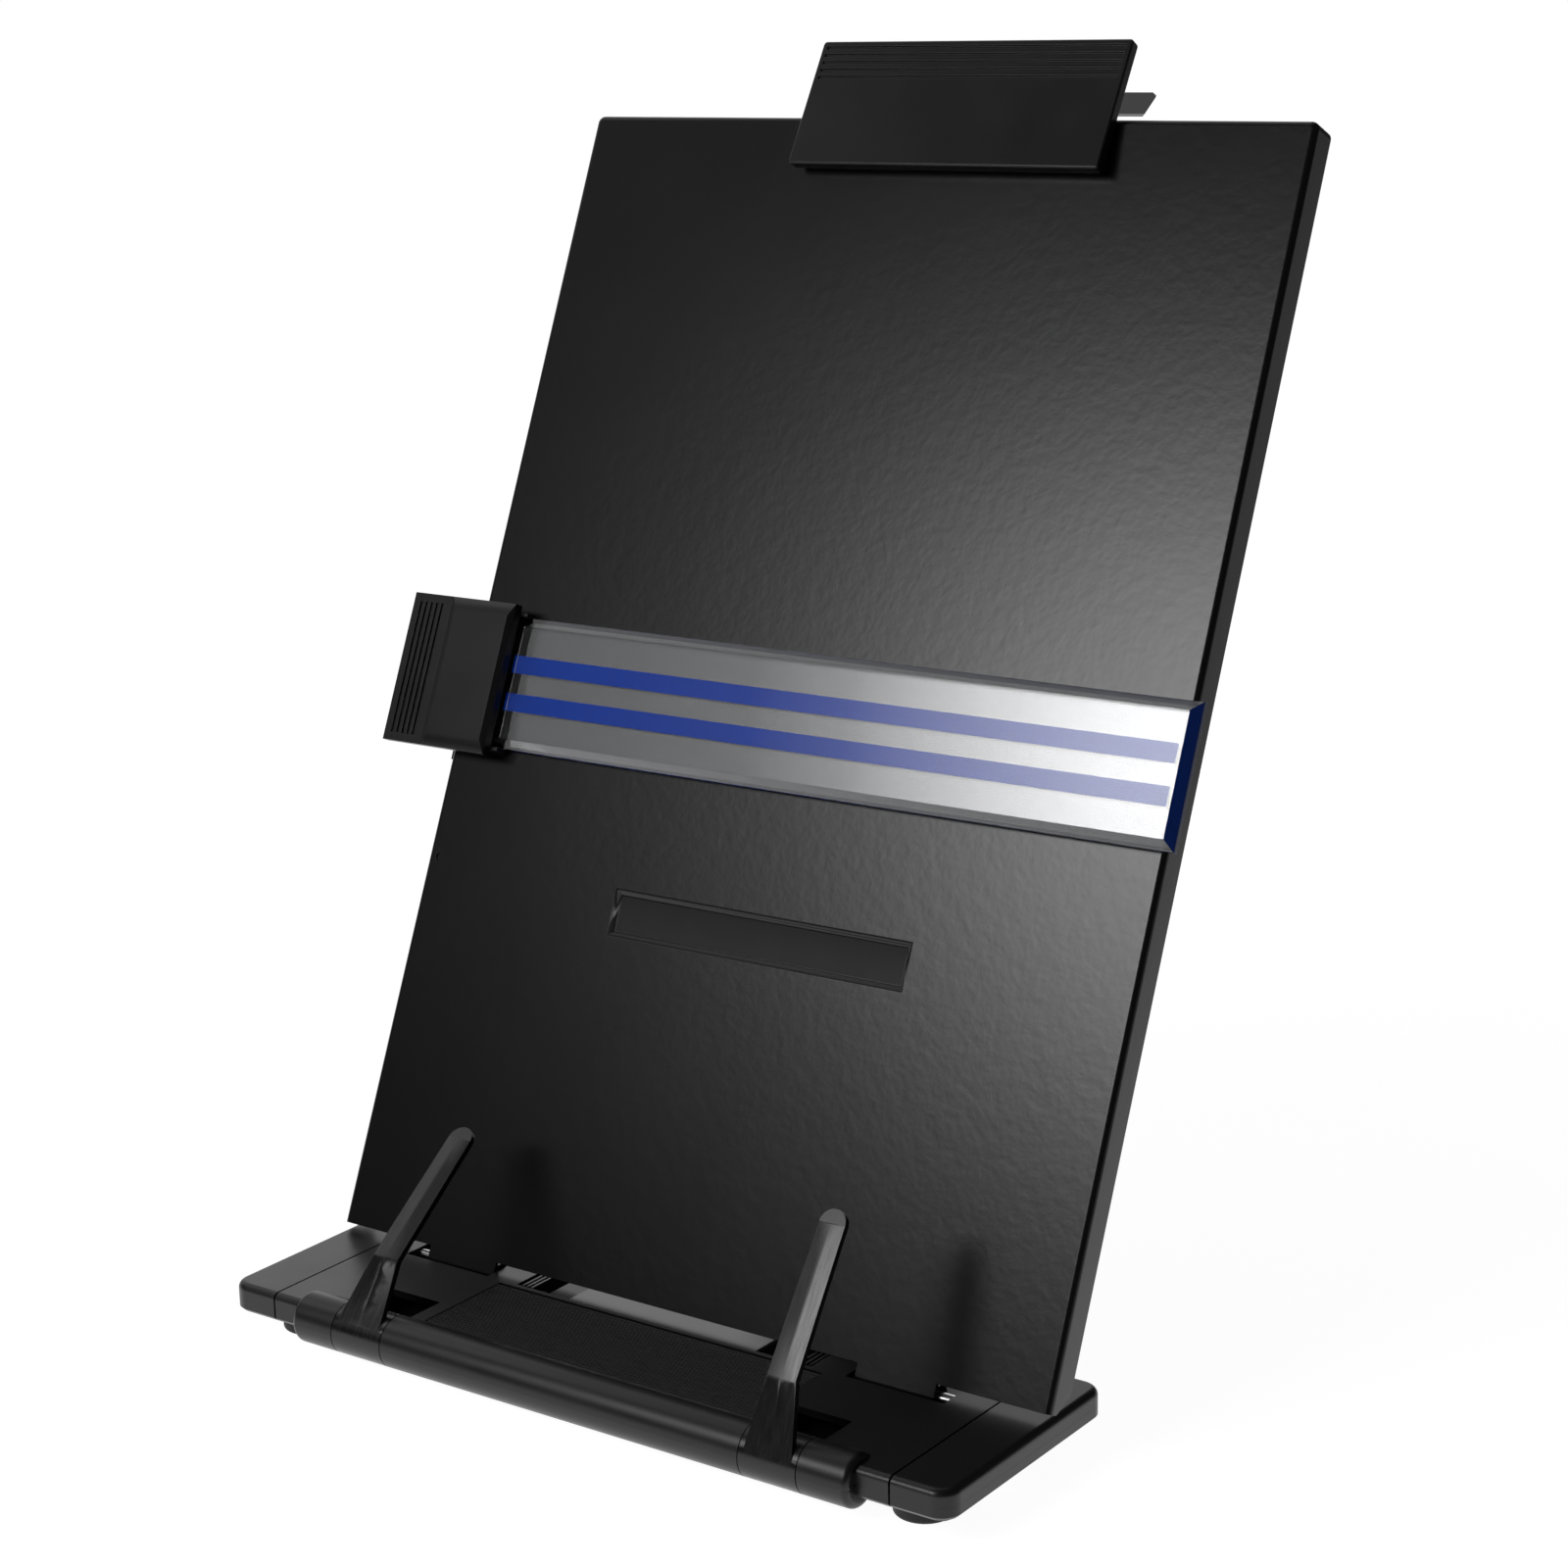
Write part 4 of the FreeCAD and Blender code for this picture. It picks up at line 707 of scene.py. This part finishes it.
def soft_spot(light):
    """The light is brightest at one spot, fades round it and reaches further to the right."""
    lamp = light.data
    lamp.use_nodes = True
    tree = lamp.node_tree
    bpy.context.view_layer.update()
    turn = light.matrix_world.to_3x3()
    right, up = turn @ Vector((1, 0, 0)), turn @ Vector((0, 1, 0))
    if right.x < 0:
        right.negate()
    if up.z < 0:
        up.negate()
    place = add_node(tree, "ShaderNodeNewGeometry")
    offsets = []
    for axis, spot in ((right, BRIGHT_SPOT[0]), (up, BRIGHT_SPOT[1])):
        along = add_node(tree, "ShaderNodeVectorMath", operation="DOT_PRODUCT")
        along.inputs[1].default_value = axis
        tree.links.new(place.outputs["Position"], along.inputs[0])
        middle = light.location.dot(axis) + spot
        offsets.append(add_math(tree, "SUBTRACT", along.outputs["Value"], middle))
    across, height = offsets
    across = two_slopes(tree, across, 1, RIGHT_SIDE_STRETCH)
    height = two_slopes(tree, height, 1, TOP_SQUEEZE)
    square = add_math(tree, "ADD", add_math(tree, "MULTIPLY", across, across),
                      add_math(tree, "MULTIPLY", height, height))
    reach = map_range(tree, add_math(tree, "SQRT", square), 0, SOFTBOX_REACH)
    profile = add_node(tree, "ShaderNodeValToRGB")
    stops = profile.color_ramp.elements
    while len(stops) < len(SOFTBOX_PROFILE):
        stops.new(0.5)
    for stop, (position, level) in zip(stops, SOFTBOX_PROFILE):
        stop.position = position
        stop.color = (level, level, level, 1)
    tree.links.new(reach, profile.inputs["Fac"])
    tree.links.new(profile.outputs["Color"], tree.nodes["Emission"].inputs["Strength"])


def seen_directly(tree):
    """Light path, and one for rays from the camera or through the clear plastic."""
    path = add_node(tree, "ShaderNodeLightPath")
    return path, add_math(tree, "MAXIMUM", path.outputs["Is Camera Ray"],
                          path.outputs["Is Transmission Ray"])


# Directions in which polished surfaces mirror the white background, and how much of it
BEHIND_FROM, BEHIND_FULL = -0.3, 0.3
LEFT_FROM, LEFT_FULL = -0.3, -0.45
LEFT_SHARE = 0.6

# Where their view of the floor darkens, to the right and in front
FLOOR_DARK_FROM = 0.1
FLOOR_DARK_FULL = 0.4
FLOOR_DARK_SHARE = 0.25
FLOOR_FRONT_FROM = -0.2
FLOOR_FRONT_FULL = -0.4
FLOOR_FRONT_SHARE = 0.12


def make_world():
    """A white background with a dim room in front of it and to its right."""
    stage = stage_settings()
    world = bpy.data.worlds.new("white_background")
    bpy.context.scene.world = world
    world.use_nodes = True
    tree = world.node_tree
    room = tree.nodes["Background"]
    room.inputs["Color"].default_value = (1, 1, 1, 1)
    room.inputs["Strength"].default_value = stage.room
    white = add_node(tree, "ShaderNodeBackground", Strength=stage.backdrop)
    white.inputs["Color"].default_value = (1, 1, 1, 1)
    path, direct = seen_directly(tree)
    toward = add_node(tree, "ShaderNodeTexCoord")
    split = add_node(tree, "ShaderNodeSeparateXYZ")
    tree.links.new(toward.outputs["Generated"], split.inputs["Vector"])
    behind = map_range(tree, split.outputs["Y"], BEHIND_FROM, BEHIND_FULL)
    left = map_range(tree, split.outputs["X"], LEFT_FROM, LEFT_FULL, 0, LEFT_SHARE)
    white_part = add_math(tree, "MULTIPLY", behind, left)
    glossy = add_math(tree, "MULTIPLY", white_part, path.outputs["Is Glossy Ray"])
    shown = add_math(tree, "MAXIMUM", glossy, direct)
    mix = add_node(tree, "ShaderNodeMixShader")
    tree.links.new(shown, mix.inputs["Fac"])
    tree.links.new(room.outputs["Background"], mix.inputs[1])
    tree.links.new(white.outputs["Background"], mix.inputs[2])
    tree.links.new(mix.outputs["Shader"], tree.nodes["World Output"].inputs["Surface"])


def make_floor():
    """A white floor that keeps the shadow of the holder."""
    stage = stage_settings()
    bm = bmesh.new()
    bmesh.ops.create_grid(bm, x_segments=1, y_segments=1, size=FLOOR_SIZE / 2,
                          matrix=Matrix.Translation((0, 0, -FLOOR_DROP)))
    mesh = bpy.data.meshes.new("floor")
    bm.to_mesh(mesh)
    bm.free()
    floor = bpy.data.objects.new("floor", mesh)
    bpy.context.scene.collection.objects.link(floor)
    material, tree, shader = new_material("white_floor")
    shader.inputs["Base Color"].default_value = (0.9, 0.9, 0.9, 1)
    shader.inputs["Roughness"].default_value = 0.9
    shader.inputs["Specular IOR Level"].default_value = 0
    white = add_node(tree, "ShaderNodeEmission", Strength=stage.floor_glow)
    path, direct = seen_directly(tree)
    place = add_node(tree, "ShaderNodeTexCoord")
    split = add_node(tree, "ShaderNodeSeparateXYZ")
    reach = add_node(tree, "ShaderNodeVectorMath", operation="LENGTH")
    tree.links.new(place.outputs["Object"], split.inputs["Vector"])
    tree.links.new(place.outputs["Object"], reach.inputs[0])
    kept = map_range(tree, reach.outputs["Value"], FLOOR_NEAR, FLOOR_FAR, stage.floor_share,
                     1 / stage.floor_glow)
    dark = map_range(tree, split.outputs["X"], FLOOR_DARK_FROM, FLOOR_DARK_FULL,
                     1.0, FLOOR_DARK_SHARE)
    front = map_range(tree, split.outputs["Y"], FLOOR_FRONT_FROM, FLOOR_FRONT_FULL,
                      1.0, FLOOR_FRONT_SHARE)
    dark = add_math(tree, "MULTIPLY", dark, front)
    glossy = add_math(tree, "MULTIPLY", path.outputs["Is Glossy Ray"], dark)
    shown = add_math(tree, "MAXIMUM", direct, glossy)
    mix = add_node(tree, "ShaderNodeMixShader")
    tree.links.new(add_math(tree, "MULTIPLY", shown, kept), mix.inputs["Fac"])
    tree.links.new(shader.outputs["BSDF"], mix.inputs[1])
    tree.links.new(white.outputs["Emission"], mix.inputs[2])
    tree.links.new(mix.outputs["Shader"], tree.nodes["Material Output"].inputs["Surface"])
    mesh.materials.append(material)


def make_lights():
    stage = stage_settings()
    middle = BOARD_FRAME @ Vector((0, 0, BOARD_MIDDLE))
    side, height = stage.key_azimuth, stage.key_elevation
    away = Vector((-math.sin(side) * math.cos(height), -math.cos(side) * math.cos(height),
                   math.sin(height)))
    key = new_light("long_softbox", stage.key_power, stage.key_length, stage.key_height,
                    middle + away * stage.key_distance, middle)
    soft_spot(key)
    new_light("top_light", stage.top_power, *TOP_LIGHT_SIZE, TOP_LIGHT_PLACE, middle)
    new_light("left_light", stage.left_power, *LEFT_LIGHT_SIZE, LEFT_LIGHT_PLACE, middle)
    back = new_light("back_light", stage.back_power, *BACK_LIGHT_SIZE, BACK_LIGHT_PLACE, middle)
    back.visible_transmission = False


def make_camera():
    stage = stage_settings()
    lens = bpy.data.cameras.new("camera")
    lens.lens = stage.lens
    lens.sensor_width = SENSOR_WIDTH
    camera = bpy.data.objects.new("camera", lens)
    camera.location = stage.camera_place
    camera.rotation_euler = stage.camera_turn
    bpy.context.scene.collection.objects.link(camera)
    bpy.context.scene.camera = camera


class COPYHOLDER_OT_stage(HolderOperator, bpy.types.Operator):
    """Makes the floor, the background, the lights and the camera"""

    bl_idname = "copyholder.stage"
    bl_label = "Stage"

    def execute(self, context):
        context.scene.view_settings.view_transform = "Standard"
        make_world()
        make_floor()
        make_lights()
        make_camera()
        return {"FINISHED"}


PIECE_OPERATORS = (
    COPYHOLDER_OT_base, COPYHOLDER_OT_feet, COPYHOLDER_OT_page_arms, COPYHOLDER_OT_board,
    COPYHOLDER_OT_prop, COPYHOLDER_OT_line_guide, COPYHOLDER_OT_clip, COPYHOLDER_OT_hardware,
    COPYHOLDER_OT_stage,
)


class COPYHOLDER_PT_panel(bpy.types.Panel):
    """Lists the settings and the steps that make the copy holder"""

    bl_label = "Copy holder"
    bl_idname = "COPYHOLDER_PT_panel"
    bl_space_type = "VIEW_3D"
    bl_region_type = "UI"
    bl_category = "Copy holder"

    def draw(self, context):
        for group in (edges(), finish_colours(), stage_settings()):
            column = self.layout.column(align=True)
            for name in type(group).__annotations__:
                column.prop(group, name)
        for operator in PIECE_OPERATORS:
            self.layout.operator(operator.bl_idname)


SETTINGS = {
    "holder_edges": HolderEdges,
    "holder_finish": HolderFinish,
    "holder_stage": HolderStage,
}
CLASSES = (*SETTINGS.values(), *PIECE_OPERATORS, COPYHOLDER_PT_panel)


def register():
    for each in CLASSES:
        bpy.utils.register_class(each)
    for name, group in SETTINGS.items():
        setattr(bpy.types.Scene, name, PointerProperty(type=group))


def unregister():
    for name in SETTINGS:
        delattr(bpy.types.Scene, name)
    for each in reversed(CLASSES):
        bpy.utils.unregister_class(each)


def main():
    register()
    for operator in PIECE_OPERATORS:
        group, name = operator.bl_idname.split(".")
        getattr(getattr(bpy.ops, group), name)()


if __name__ == "__main__":
    main()
